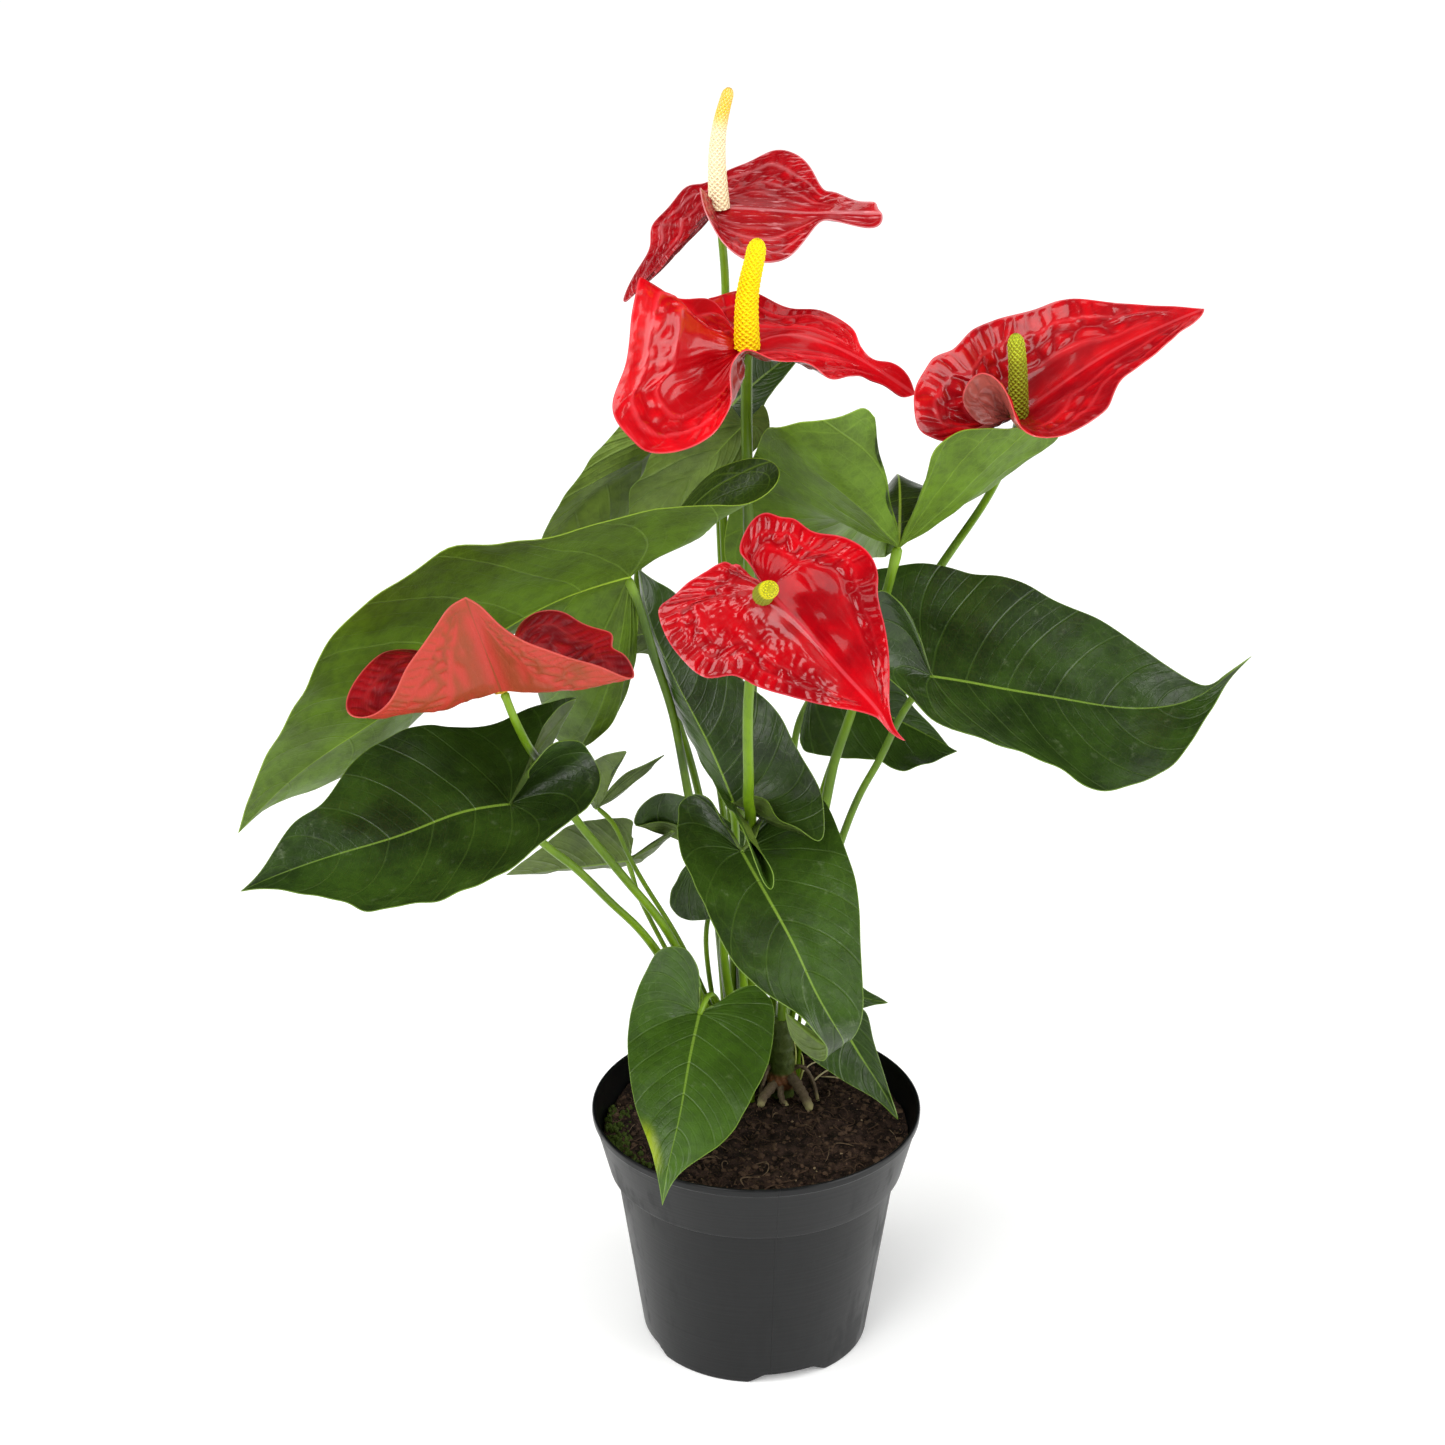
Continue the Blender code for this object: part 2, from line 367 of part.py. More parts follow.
def spread(line, count, end=1.0):
    """Fractions from 0 to end, half spaced by length and half by how far the line turns."""
    u = np.linspace(0, 1, len(line))
    t = unit(np.gradient(line, axis=0))
    turn = np.concatenate([[0.0], np.arccos(np.clip((t[1:] * t[:-1]).sum(axis=1), -1, 1))])
    turn[u > end] = 0
    q = 0.5 * np.minimum(u / end, 1) + 0.5 * np.cumsum(turn) / max(turn.sum(), 1e-9)
    return np.interp(np.linspace(0, 1, count), q + u * 1e-9, u)


def half_blade(leaf, key, side):
    """Grid from the midrib (first column) to the margin (last column), notch row first, tip row last."""
    mid = smooth_line(leaf["mid"])
    margin = smooth_line(leaf[key] + [leaf["mid"][-1]])
    axis = unit(np.subtract(leaf["mid"][1], leaf["mid"][0]))
    length = np.linalg.norm(np.subtract(leaf["mid"][-1], leaf["mid"][0]))
    ahead = (margin - mid[0]) @ axis / length
    lobe_end = np.clip(np.max(np.nonzero(ahead < LOBE_AHEAD)[0], initial=120) / 399, 0.25, 0.75)
    w = np.linspace(0, 1, MID_ROWS + 1)[1:]
    f = np.concatenate([spread(margin, leaf["fan"], lobe_end), lobe_end + (1 - lobe_end) * w])
    foot = at_fraction(mid, np.concatenate([np.zeros(leaf["fan"]), w**MID_PULL]))
    edge = at_fraction(margin, f)
    run = np.gradient(margin, axis=0)
    run = np.stack([np.interp(f, np.linspace(0, 1, len(run)), run[:, k]) for k in range(3)], axis=1)
    up = side * unit(np.cross(edge - foot, run))
    up[-1] = up[-2]
    for _ in range(2):
        up[1:-1] = unit(up[:-2] + 2 * up[1:-1] + up[2:])
    v = np.linspace(0, 1, ACROSS + 1)[None, :, None]
    width = np.linalg.norm(edge - foot, axis=1)[:, None, None]
    bow = leaf["bow"][0 if side > 0 else 1] * np.clip(f / lobe_end, 0, 1)[:, None, None]
    return foot[:, None] * (1 - v) + edge[:, None] * v + up[:, None] * bow * width * 4 * v * (1 - v)


def sheet(leaf):
    """Points and triangles of the whole blade. Both halves share the junction, the midrib and the tip."""
    fan = leaf["fan"]
    halves = [half_blade(leaf, "right", 1), half_blade(leaf, "left", -1)]
    rows = fan + MID_ROWS
    points = [p for p in halves[0][fan - 1:, 0]]
    place = np.zeros((2, rows, ACROSS + 1), int)
    for s, grid in enumerate(halves):
        for i in range(rows):
            place[s, i, 0] = max(i - fan + 1, 0)
            for j in range(1, ACROSS + 1):
                if i == rows - 1:
                    place[s, i, j] = MID_ROWS
                    continue
                place[s, i, j] = len(points)
                points.append(grid[i, j])
    faces = []
    for s in (0, 1):
        for i in range(rows - 1):
            for j in range(ACROSS):
                a, b = place[s, i, j], place[s, i + 1, j]
                c, d = place[s, i + 1, j + 1], place[s, i, j + 1]
                for face in ((a, b, c), (a, c, d)):
                    if len(set(face)) == 3:
                        faces.append(face if s == 0 else face[::-1])
    return np.array(points), np.array(faces)


def thicken(points, faces, thickness):
    """Closed solid round a sheet: both faces alike, joined by a rim along the open edge."""
    n = len(points)
    normal = np.zeros_like(points)
    cross = np.cross(points[faces[:, 1]] - points[faces[:, 0]], points[faces[:, 2]] - points[faces[:, 0]])
    for k in range(3):
        np.add.at(normal, faces[:, k], cross)
    normal = unit(normal)
    solid = np.concatenate([points + normal * thickness / 2, points - normal * thickness / 2])
    edges = {(int(f[k]), int(f[(k + 1) % 3])) for f in faces for k in range(3)}
    out = [tuple(map(int, f)) for f in faces]
    out += [(int(c) + n, int(b) + n, int(a) + n) for a, b, c in faces]
    for a, b in sorted(edges):
        if (b, a) not in edges:
            out += [(b, a, a + n), (b, a + n, b + n)]
    return solid, out


def tube(path, radii, sides, rows, round_tip=False):
    """Closed tube along a smooth path, with rows closer together on the bends."""
    line = smooth_line(path)
    f = spread(line, rows)
    centre = at_fraction(line, f)
    along = unit(np.stack([np.interp(f, np.linspace(0, 1, 400), g) for g in np.gradient(line, axis=0).T], 1))
    side_a = unit(np.cross(along, [0.0, 1.0, 0.17]))
    side_b = np.cross(along, side_a)
    r = np.interp(f, np.linspace(0, 1, len(radii)), radii)
    if round_tip:
        left = (1 - f) * np.linalg.norm(np.diff(line, axis=0), axis=1).sum()
        r = r * np.sqrt(np.clip(1 - (1 - np.minimum(left / (1.6 * radii[-1]), 1))**2, 0.08, 1))
    turn = np.arange(sides) * 2 * np.pi / sides
    ring = np.cos(turn)[None, :, None] * side_a[:, None] + np.sin(turn)[None, :, None] * side_b[:, None]
    points = (centre[:, None] + r[:, None, None] * ring).reshape(-1, 3)
    faces = []
    for i in range(rows - 1):
        for j in range(sides):
            k = (j + 1) % sides
            faces.append((i * sides + j, i * sides + k, (i + 1) * sides + k, (i + 1) * sides + j))
    faces.append(tuple(range(sides))[::-1])
    faces.append(tuple((rows - 1) * sides + j for j in range(sides)))
    return points, faces


def turned(profile, sides):
    """Closed solid of revolution about Z, from a closed profile of (radius, height)."""
    angle = np.arange(sides) * 2 * np.pi / sides
    points = []
    place = []
    for r, z in profile:
        if r < 1e-6:
            place.append([len(points)] * sides)
            points.append((0.0, 0.0, z))
            continue
        place.append(list(range(len(points), len(points) + sides)))
        points += [(r * np.cos(a), r * np.sin(a), z) for a in angle]
    faces = []
    count = len(profile)
    for i in range(count):
        n = (i + 1) % count
        for j in range(sides):
            k = (j + 1) % sides
            ring = [place[i][j], place[i][k], place[n][k], place[n][j]]
            ring = [v for q, v in enumerate(ring) if v not in ring[:q]]
            if len(ring) > 2:
                faces.append(tuple(ring))
    return np.array(points), faces


def new_object(name, points, faces, skin=None):
    mesh = bpy.data.meshes.new(name)
    mesh.from_pydata([tuple(float(c) * MM for c in p) for p in points], [], faces)
    mesh.update()
    bm = bmesh.new()
    bm.from_mesh(mesh)
    if bm.calc_volume(signed=True) < 0:
        bmesh.ops.reverse_faces(bm, faces=bm.faces)
    bm.to_mesh(mesh)
    bm.free()
    obj = bpy.data.objects.new(name, mesh)
    bpy.context.scene.collection.objects.link(obj)
    if skin:
        mesh.materials.append(skin)
    return obj


def closed(bm):
    return len(bm.faces) > 0 and all(len(e.link_faces) == 2 for e in bm.edges)


def volume(mesh):
    bm = bmesh.new()
    bm.from_mesh(mesh)
    value = bm.calc_volume(signed=True)
    bm.free()
    return value


def keep_largest(bm):
    """Drop every loose scrap, so that one body stays."""
    seen = set()
    bodies = []
    for vert in bm.verts:
        if vert in seen:
            continue
        body = [vert]
        seen.add(vert)
        for v in body:
            for edge in v.link_edges:
                w = edge.other_vert(v)
                if w not in seen:
                    seen.add(w)
                    body.append(w)
        bodies.append(body)
    size = [sum(e.calc_length() for v in body for e in v.link_edges) for body in bodies]
    for i, body in enumerate(bodies):
        if size[i] < max(size):
            bmesh.ops.delete(bm, geom=body, context="VERTS")


def combine(obj, other, operation):
    """Boolean with another object, which is used up. MANIFOLD takes over where EXACT loses a piece."""
    full = volume(obj.data) + (volume(other.data) if operation == "UNION" else 0)
    other.hide_render = True
    other.display_type = "WIRE"
    mod = obj.modifiers.new("combine", "BOOLEAN")
    mod.operation = operation
    mod.object = other
    for solver in ("EXACT", "MANIFOLD"):
        mod.solver = solver
        depsgraph = bpy.context.evaluated_depsgraph_get()
        depsgraph.update()
        mesh = bpy.data.meshes.new_from_object(obj.evaluated_get(depsgraph))
        bm = bmesh.new()
        bm.from_mesh(mesh)
        keep_largest(bm)
        bmesh.ops.triangulate(bm, faces=[f for f in bm.faces if len(f.verts) > 4])
        bmesh.ops.remove_doubles(bm, verts=bm.verts, dist=0.00001)
        bmesh.ops.dissolve_degenerate(bm, edges=bm.edges, dist=0.00001)
        done = closed(bm) and 0.8 * full < bm.calc_volume(signed=True) < 1.01 * full
        bm.to_mesh(mesh)
        bm.free()
        if done:
            break
    obj.modifiers.clear()
    obj.data = mesh
    bpy.data.objects.remove(other, do_unlink=True)


def material(name, colour, roughness):
    mat = bpy.data.materials.new(name)
    mat.use_nodes = True
    shader = mat.node_tree.nodes["Principled BSDF"]
    shader.inputs["Base Color"].default_value = (*colour, 1.0)
    shader.inputs["Roughness"].default_value = roughness
    shader.inputs["Metallic"].default_value = 0.0
    return mat


for old in list(bpy.data.objects):
    bpy.data.objects.remove(old, do_unlink=True)

charcoal = material("charcoal_plastic", (0.042, 0.042, 0.046), 0.45)
peat = material("peat", (0.028, 0.014, 0.009), 0.95)
stem_green = material("stem_green", (0.12, 0.2, 0.03), 0.5)
leaf_green = material("leaf_green", (0.025, 0.085, 0.018), 0.35)
leaf_light = material("leaf_light_green", (0.09, 0.2, 0.02), 0.4)
spathe_red = material("spathe_red", (0.6, 0.01, 0.02), 0.3)
spadix_yellow = material("spadix_yellow", (0.85, 0.6, 0.05), 0.5)

# Pot: outer wall from the notched base up to the collar and the rounded rim, then the inner wall down.
rim_arc = [(RIM_R - POT_WALL / 2 + POT_WALL / 2 * np.cos(a), POT_H - POT_WALL / 2 + POT_WALL / 2 * np.sin(a))
           for a in np.radians([0, 60, 120, 180])]
step_r = COLLAR_R - POT_WALL
pot_profile = [(0.0, 0.0), (BODY_BASE_R - BASE_CHAMFER, 0.0), (BODY_BASE_R, BASE_CHAMFER)]
pot_profile += [(BODY_TOP_R, COLLAR_Z), (COLLAR_R, COLLAR_Z)] + rim_arc
pot_profile += [(step_r, COLLAR_Z + POT_WALL), (BODY_TOP_R - POT_WALL, COLLAR_Z - 1.0)]
pot_profile += [(FLOOR_R, POT_FLOOR), (0.0, POT_FLOOR)]
pot = new_object("pot", *turned(pot_profile, POT_SIDES), charcoal)
for k in range(FOOT_NOTCHES):
    angle = np.radians(FOOT_NOTCH_TURN + 360 * k / FOOT_NOTCHES)
    out = np.array([np.cos(angle), np.sin(angle)])
    across = np.array([-out[1], out[0]])
    corners = []
    for z in (-2.0, FOOT_NOTCH_H):
        half = FOOT_NOTCH_W / 2 + FOOT_NOTCH_SLOPE * (1 - z / FOOT_NOTCH_H)
        far = FOOT_NOTCH_R + FOOT_NOTCH_REACH
        for r, t in ((FOOT_NOTCH_R, -1), (far, -1), (far, 1), (FOOT_NOTCH_R, 1)):
            flat = out * r + across * t * half
            corners.append((flat[0], flat[1], z))
    box = [(0, 3, 2, 1), (4, 5, 6, 7), (0, 1, 5, 4), (1, 2, 6, 5), (2, 3, 7, 6), (3, 0, 4, 7)]
    combine(pot, new_object("notch_cutter", corners, box), "DIFFERENCE")

# Soil: fills the pot up to below the rim, a touch higher in the middle.
collar_slope = (RIM_R - COLLAR_R) / (POT_H - COLLAR_Z)
soil_r = COLLAR_R - POT_WALL + collar_slope * (SOIL_Z - COLLAR_Z) - 2 * GAP
soil_profile = [(0.0, POT_FLOOR + GAP), (FLOOR_R - 2 * GAP, POT_FLOOR + GAP),
                (BODY_TOP_R - POT_WALL - 2 * GAP, COLLAR_Z - 1.0),
                (step_r - 2 * GAP, COLLAR_Z + POT_WALL + GAP),
                (soil_r, SOIL_Z), (soil_r * 0.5, SOIL_Z + SOIL_DOME * 0.8), (0.0, SOIL_Z + SOIL_DOME)]
soil = new_object("soil", *turned(soil_profile, SOIL_SIDES), peat)

# Crown, with the aerial roots grown out of it down to the soil, and the socket that one stalk rises from.
profile = [(0.0, CROWN_PROFILE[0][1])] + CROWN_PROFILE + [(0.0, CROWN_PROFILE[-1][1])]
points, faces = turned(profile, CROWN_SIDES)
crown = new_object("crown", points + [CROWN_X, CROWN_Y, 0.0], faces, stem_green)
for path, radii in zip(ROOTS, ROOT_R):
    combine(crown, new_object("root", *tube(path, radii, ROOT_SIDES, ROOT_SIDES, round_tip=True)), "UNION")
socket = [(CROWN_X, CROWN_Y, CROWN_SOCKET_Z), (CROWN_X, CROWN_Y, 150.0), (CROWN_X, CROWN_Y, 180.0)]
combine(crown, new_object("socket_cutter", *tube(socket, (CROWN_SOCKET_R,), 12, 2)), "DIFFERENCE")

# Leaves: blade and petiole grown together.
holes = []
for name, leaf in LEAVES.items():
    points, faces = sheet(leaf)
    light = name in LIGHT_LEAVES
    obj = new_object(name, *thicken(points, faces, LEAF_T), leaf_light if light else leaf_green)
    ahead = unit(np.subtract(leaf["mid"][1], leaf["mid"][0]))
    path = [leaf["mid"][0] + ahead * STALK_SUNK] + leaf["stalk"][1:]
    stalk = new_object("stalk", *tube(path, leaf["stalk_r"], STALK_SIDES, STALK_ROWS))
    combine(obj, stalk, "UNION")
    holes.append((leaf["stalk"][-1], leaf["stalk_r"][1]))

# Blooms: the spathe is a thicker sheet with a plain hole where the spadix and the peduncle meet in it.
for name, bloom in BLOOMS.items():
    lean = unit(np.subtract(bloom["spadix"][1], bloom["spadix"][0]))
    base = bloom["spadix"][0] - lean * SPADIX_SUNK
    spike = [base] + bloom["spadix"]
    stalk = [base] + bloom["stalk"][1:]
    wide_spike = [base - lean * GAP] + bloom["spadix"]
    spike_r, wide_r = bloom["spadix_r"], [r + GAP for r in bloom["spadix_r"]]
    spathe = new_object("spathe_" + name, *thicken(*sheet(bloom), SPATHE_T), spathe_red)
    hole = new_object("hole_cutter", *tube(wide_spike, wide_r, SPADIX_SIDES, SPADIX_ROWS))
    combine(spathe, hole, "DIFFERENCE")
    rows = STALK_ROWS + 4
    wide_stalk = tube(stalk, [r + GAP for r in bloom["stalk_r"]], STALK_SIDES, rows)
    combine(spathe, new_object("hole_cutter", *wide_stalk), "DIFFERENCE")
    new_object("spadix_" + name, *tube(spike, spike_r, SPADIX_SIDES, SPADIX_ROWS, round_tip=True),
               spadix_yellow)
    peduncle = new_object("peduncle_" + name, *tube(stalk, bloom["stalk_r"], STALK_SIDES, rows), stem_green)
    end = new_object("end_cutter", *tube(wide_spike, wide_r, SPADIX_SIDES, SPADIX_ROWS))
    combine(peduncle, end, "DIFFERENCE")
    if name != "front":
        holes.append((bloom["stalk"][-1], bloom["stalk_r"][1]))

# Plain holes in the soil for the stalks and the crown.
for (x, y, z), r in holes + [((CROWN_X, CROWN_Y, 0.0), CROWN_HOLE_R)]:
    shaft = [(x, y, SOIL_Z - STALK_HOLE_DEPTH), (x, y, SOIL_Z), (x, y, SOIL_Z + 20)]
    cutter = new_object("hole_cutter", *tube(shaft, ((r + STALK_HOLE_CLEAR) * 1.06,), 9, 2))
    combine(soil, cutter, "DIFFERENCE")

for obj in bpy.data.objects:
    obj.data.shade_smooth()
    obj.data.set_sharp_from_angle(angle=np.radians(40))
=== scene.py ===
"""Potted anthurium: heart-shaped leaves and red spathes on long stalks, rooted in a plastic grow pot.

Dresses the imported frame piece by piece, from the pot up. Points are in millimetres in the frame's axes,
+X right, +Y away from the viewer and +Z up, with the origin under the middle of the pot.
"""

import bpy
import numpy as np
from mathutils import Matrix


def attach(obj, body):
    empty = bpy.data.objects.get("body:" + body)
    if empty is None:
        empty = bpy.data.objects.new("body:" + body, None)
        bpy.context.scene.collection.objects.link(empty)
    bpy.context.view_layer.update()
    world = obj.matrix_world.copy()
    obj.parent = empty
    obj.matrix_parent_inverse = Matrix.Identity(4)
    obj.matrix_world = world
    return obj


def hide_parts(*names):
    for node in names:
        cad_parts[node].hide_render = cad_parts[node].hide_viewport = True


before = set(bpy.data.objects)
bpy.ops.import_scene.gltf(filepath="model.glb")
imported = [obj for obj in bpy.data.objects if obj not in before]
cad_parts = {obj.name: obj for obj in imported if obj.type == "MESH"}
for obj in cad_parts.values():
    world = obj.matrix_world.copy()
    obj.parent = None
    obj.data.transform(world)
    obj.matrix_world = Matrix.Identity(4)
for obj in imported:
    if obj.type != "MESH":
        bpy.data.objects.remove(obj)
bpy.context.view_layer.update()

# Grow pot: one thin injection moulding in carbon-black polypropylene. A stepped collar and a rolled
# rim stiffen it, and four notches with sloping ends in the base edge leave it four low feet.


def linear(hex_colour):
    """sRGB hex colour to linear RGBA: c/12.92 below 0.04045, else ((c + 0.055)/1.055) to the 2.4."""
    c = np.array([int(hex_colour[i:i + 2], 16) for i in (1, 3, 5)]) / 255
    return (*np.where(c <= 0.04045, c / 12.92, ((c + 0.055) / 1.055) ** 2.4), 1.0)


def add(tree, kind, inputs=None, **settings):
    """Adds a node. inputs gives each socket, by name or number, its value or the output that feeds it."""
    node = tree.nodes.new("ShaderNode" + kind)
    for key, value in settings.items():
        setattr(node, key, value)
    for key, value in (inputs or {}).items():
        if isinstance(value, bpy.types.NodeSocket):
            tree.links.new(value, node.inputs[key])
        else:
            node.inputs[key].default_value = value
    return node


def finish(name, **sockets):
    """A material with its shader. Whatever is the same all over is set on the shader's own sockets."""
    mat = bpy.data.materials.new(name)
    mat.use_nodes = True
    shader = mat.node_tree.nodes["Principled BSDF"]
    for key, value in sockets.items():
        shader.inputs[key.replace("_", " ")].default_value = value
    return mat, mat.node_tree, shader


def calc(tree, operation, a, b=0.0, c=0.0):
    """One arithmetic step on values or outputs."""
    return add(tree, "Math", {0: a, 1: b, 2: c}, operation=operation).outputs[0]


def between(tree, value, low, high, start=0.0, stop=1.0):
    """Smooth step of value from low to high, giving start to stop."""
    inputs = {"Value": value, "From Min": low, "From Max": high, "To Min": start, "To Max": stop}
    return add(tree, "MapRange", inputs, interpolation_type="SMOOTHSTEP").outputs[0]


def blend(tree, amount, a, b):
    """Colour a with the given amount of b laid over it."""
    return add(tree, "Mix", {0: amount, 6: a, 7: b}, data_type="RGBA").outputs[2]


def field(tree, name):
    """A number that the mesh carries at its corners."""
    return add(tree, "Attribute", attribute_name=name).outputs["Fac"]


def speckle(tree, grain_mm, detail=3.0, rough=0.55, stretch=None):
    """Noise with grains of a real size, read from the object's own coordinates."""
    place = add(tree, "TexCoord").outputs["Object"]
    if stretch:
        place = add(tree, "Mapping", {"Vector": place, "Scale": stretch}).outputs[0]
    inputs = {"Vector": place, "Scale": 1000 / grain_mm, "Detail": detail, "Roughness": rough}
    return add(tree, "TexNoise", inputs).outputs["Fac"]


def relief(tree, shader, height, depth_mm, strength=1.0):
    """Fine relief of the given depth in millimetres."""
    inputs = {"Height": height, "Distance": depth_mm * 0.001, "Strength": strength}
    tree.links.new(add(tree, "Bump", inputs).outputs[0], shader.inputs["Normal"])


def unit(v):
    """v / |v|, row by row."""
    return v / np.maximum(np.linalg.norm(v, axis=-1, keepdims=True), 1e-9)


def grid_corners(rows, columns):
    """Point numbers of a grid's triangles, two to a cell. Faces look along columns x rows."""
    n = np.arange(rows * columns).reshape(rows, columns)
    a, b, c, d = n[:-1, :-1].ravel(), n[1:, :-1].ravel(), n[1:, 1:].ravel(), n[:-1, 1:].ravel()
    return np.concatenate([np.stack([a, d, c], 1), np.stack([a, c, b], 1)])


def weld(points, corners):
    """Joins points in one place and drops triangles that close up, so seams and poles are closed.
    Gives the points, their first grid numbers, the triangles, and each corner's own grid number."""
    _, first, back = np.unique(np.round(points, 4), axis=0, return_index=True, return_inverse=True)
    tri = back.reshape(-1)[corners]
    keep = (tri[:, 0] != tri[:, 1]) & (tri[:, 1] != tri[:, 2]) & (tri[:, 2] != tri[:, 0])
    return points[first], first, tri[keep], corners[keep]


def surfaced(grid):
    """A grid's welded points and triangles, and each corner's own grid number."""
    points, _, tri, own = weld(grid.reshape(-1, 3), grid_corners(*grid.shape[:2]))
    return points, tri, own


def piece(name, points, triangles, material, node=None, slot=None, sharp=50, **fields):
    """Mesh object at the origin. fields are numbers for each triangle corner; uv has two of them."""
    mesh = bpy.data.meshes.new(name)
    mesh.vertices.add(len(points))
    mesh.vertices.foreach_set("co", (points * 0.001).astype(np.float32).ravel())
    mesh.loops.add(triangles.size)
    mesh.loops.foreach_set("vertex_index", triangles.astype(np.int32).ravel())
    mesh.polygons.add(len(triangles))
    mesh.polygons.foreach_set("loop_start", np.arange(0, triangles.size, 3, dtype=np.int32))
    mesh.update(calc_edges=True)
    for key, values in fields.items():
        values = np.asarray(values, np.float32)
        if key == "uv":
            mesh.uv_layers.new(name="uv").data.foreach_set("uv", values.ravel())
        else:
            mesh.attributes.new(key, "FLOAT", "CORNER").data.foreach_set("value", values.ravel())
    mesh.shade_smooth()
    mesh.set_sharp_from_angle(angle=np.radians(sharp))
    mesh.materials.append(material)
    obj = bpy.data.objects.new(name, mesh)
    bpy.context.scene.collection.objects.link(obj)
    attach(obj, "root")
    if node:
        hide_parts(node)
    return obj


def rounded(corners, step):
    """Profile of (radius, height, rounding): each corner is a quadratic curve from cut to cut, and the
    straights between have a point at least every step."""
    p = np.array(corners, float)
    t = np.linspace(0, 1, 5)[:, None]
    line = [p[:1, :2]]
    for before, here, after in zip(p[:-2], p[1:-1], p[2:]):
        a = here[:2] + unit(before[:2] - here[:2]) * here[2]
        b = here[:2] + unit(after[:2] - here[:2]) * here[2]
        line.append((1 - t) ** 2 * a + 2 * t * (1 - t) * here[:2] + t**2 * b)
    line = np.concatenate(line + [p[-1:, :2]])
    s = np.concatenate([[0.0], np.cumsum(np.linalg.norm(np.diff(line, axis=0), axis=1))])
    at = np.unique(np.round(np.concatenate([s, np.arange(0, s[-1], step)]), 3))
    return np.stack([np.interp(at, s, line[:, k]) for k in (0, 1)], 1)


def turned(line, columns, centre=(0.0, 0.0)):
    """Grid of revolution: (r cos a, r sin a, z), with the last column on the first."""
    a = np.linspace(0, 2 * np.pi, columns + 1)
    grid = np.stack([line[:, :1] * np.cos(a), line[:, :1] * np.sin(a), line[:, 1:] + 0 * a], -1)
    grid[:, -1] = grid[:, 0]
    return grid + [*centre, 0.0], a


RIM_R, POT_H, COLLAR_R, COLLAR_Z, BODY_TOP_R, BODY_BASE_R = 85.0, 133.2, 76.6, 99.1, 73.0, 58.6
WALL, FLOOR, NOTCH_R, NOTCH_H, NOTCH_W, NOTCH_SLOPE = 1.5, 7.0, 50.0, 5.3, 26.0, 9.0
NOTCHES, NOTCH_TURN = 4, -73.0
SEAM_AZIMUTH = -82.7

pot_line = rounded([
    (0, 2.2, 0), (42, 2.2, 1), (45, 0, 0.8), (NOTCH_R - 0.4, 0, 0), (NOTCH_R + 0.4, 0, 0),
    (BODY_BASE_R, 0, 1.2), (BODY_TOP_R - 0.2, COLLAR_Z - 1.2, 0.8),
    (BODY_TOP_R + 0.4, COLLAR_Z, 0.5), (COLLAR_R - 0.5, COLLAR_Z, 0.5), (COLLAR_R, COLLAR_Z + 1.6, 0.7),
    (RIM_R - 1.3, POT_H - 5.0, 0.6), (RIM_R - 0.3, POT_H - 4.4, 0.5), (RIM_R, POT_H - 1.1, 0.8),
    (RIM_R - 0.9, POT_H, 0.7), (RIM_R - 2.1, POT_H - 0.9, 0.7), (RIM_R - 2.6, POT_H - 4.5, 0.6),
    (COLLAR_R - WALL, COLLAR_Z + WALL, 0.6), (BODY_TOP_R - WALL, COLLAR_Z - 1, 0.6),
    (BODY_BASE_R - WALL + 1, FLOOR, 0.8), (0, FLOOR, 0)], 2.2)
grid, angle = turned(pot_line, 240)
apart = 360 / NOTCHES
turn = (np.degrees(angle)[None, :] - NOTCH_TURN + apart / 2) % apart - apart / 2
arc = np.abs(np.radians(turn)) * np.hypot(grid[..., 0], grid[..., 1])
window = np.clip((NOTCH_W / 2 + NOTCH_SLOPE - arc) / NOTCH_SLOPE, 0, 1)
radius = np.hypot(grid[..., 0], grid[..., 1])
outside = (np.arange(len(grid)) < np.argmax(pot_line[:, 1] > 14))[:, None]
lift = NOTCH_H * window * np.clip((radius - NOTCH_R + 0.4) / 0.8, 0, 1) * outside
grid[..., 2] = np.maximum(grid[..., 2], lift)

plastic, tree, shader = finish("moulded black polypropylene", IOR=1.49, Specular_IOR_Level=0.3)
# Satin moulded plastic: nearly black, a touch warmer and duller where dust and water marks sit on it.
streak = speckle(tree, 9.0, 6.0, 0.62, (1.0, 1.0, 0.22))
cloud = speckle(tree, 38.0, 4.0, 0.6)
dust = between(tree, calc(tree, "MULTIPLY", streak, cloud), 0.2, 0.42)
colour = blend(tree, dust, linear("#0B0C0D"), linear("#141516"))
scratch = speckle(tree, 0.9, 4.0, 0.7, (0.3, 0.3, 1.6))
colour = blend(tree, between(tree, scratch, 0.66, 0.78, 0.0, 0.6), colour, linear("#343536"))
tree.links.new(colour, shader.inputs["Base Color"])
tree.links.new(between(tree, dust, 0, 1, 0.36, 0.52), shader.inputs["Roughness"])
# Mould lines: the parting seam runs up the wall, and fine flow rings from the mould go round it.
around = field(tree, "around")
seam = between(tree, calc(tree, "ABSOLUTE", calc(tree, "SUBTRACT", around, SEAM_AZIMUTH)), 0.16, 0.34, 1, 0)
rings = speckle(tree, 1.6, 2.0, 0.5, (0.02, 0.02, 1.0))
height = calc(tree, "ADD", calc(tree, "MULTIPLY", seam, 0.9), calc(tree, "MULTIPLY", rings, 0.35))
relief(tree, shader, calc(tree, "ADD", height, calc(tree, "MULTIPLY", streak, 0.3)), 0.25)

points, tri, own = surfaced(grid)
azimuth = np.broadcast_to((np.degrees(angle)[None, :] + 180) % 360 - 180, grid.shape[:2]).reshape(-1)
piece("grow_pot", points, tri, plastic, "pot", "charcoal_plastic", 32, around=azimuth[own])

# Soil: dark peat, fibrous and crumbly, with bark and perlite flecks, stray roots and a patch of moss
# at the left. It is filled by hand, so it is a little higher in the middle.

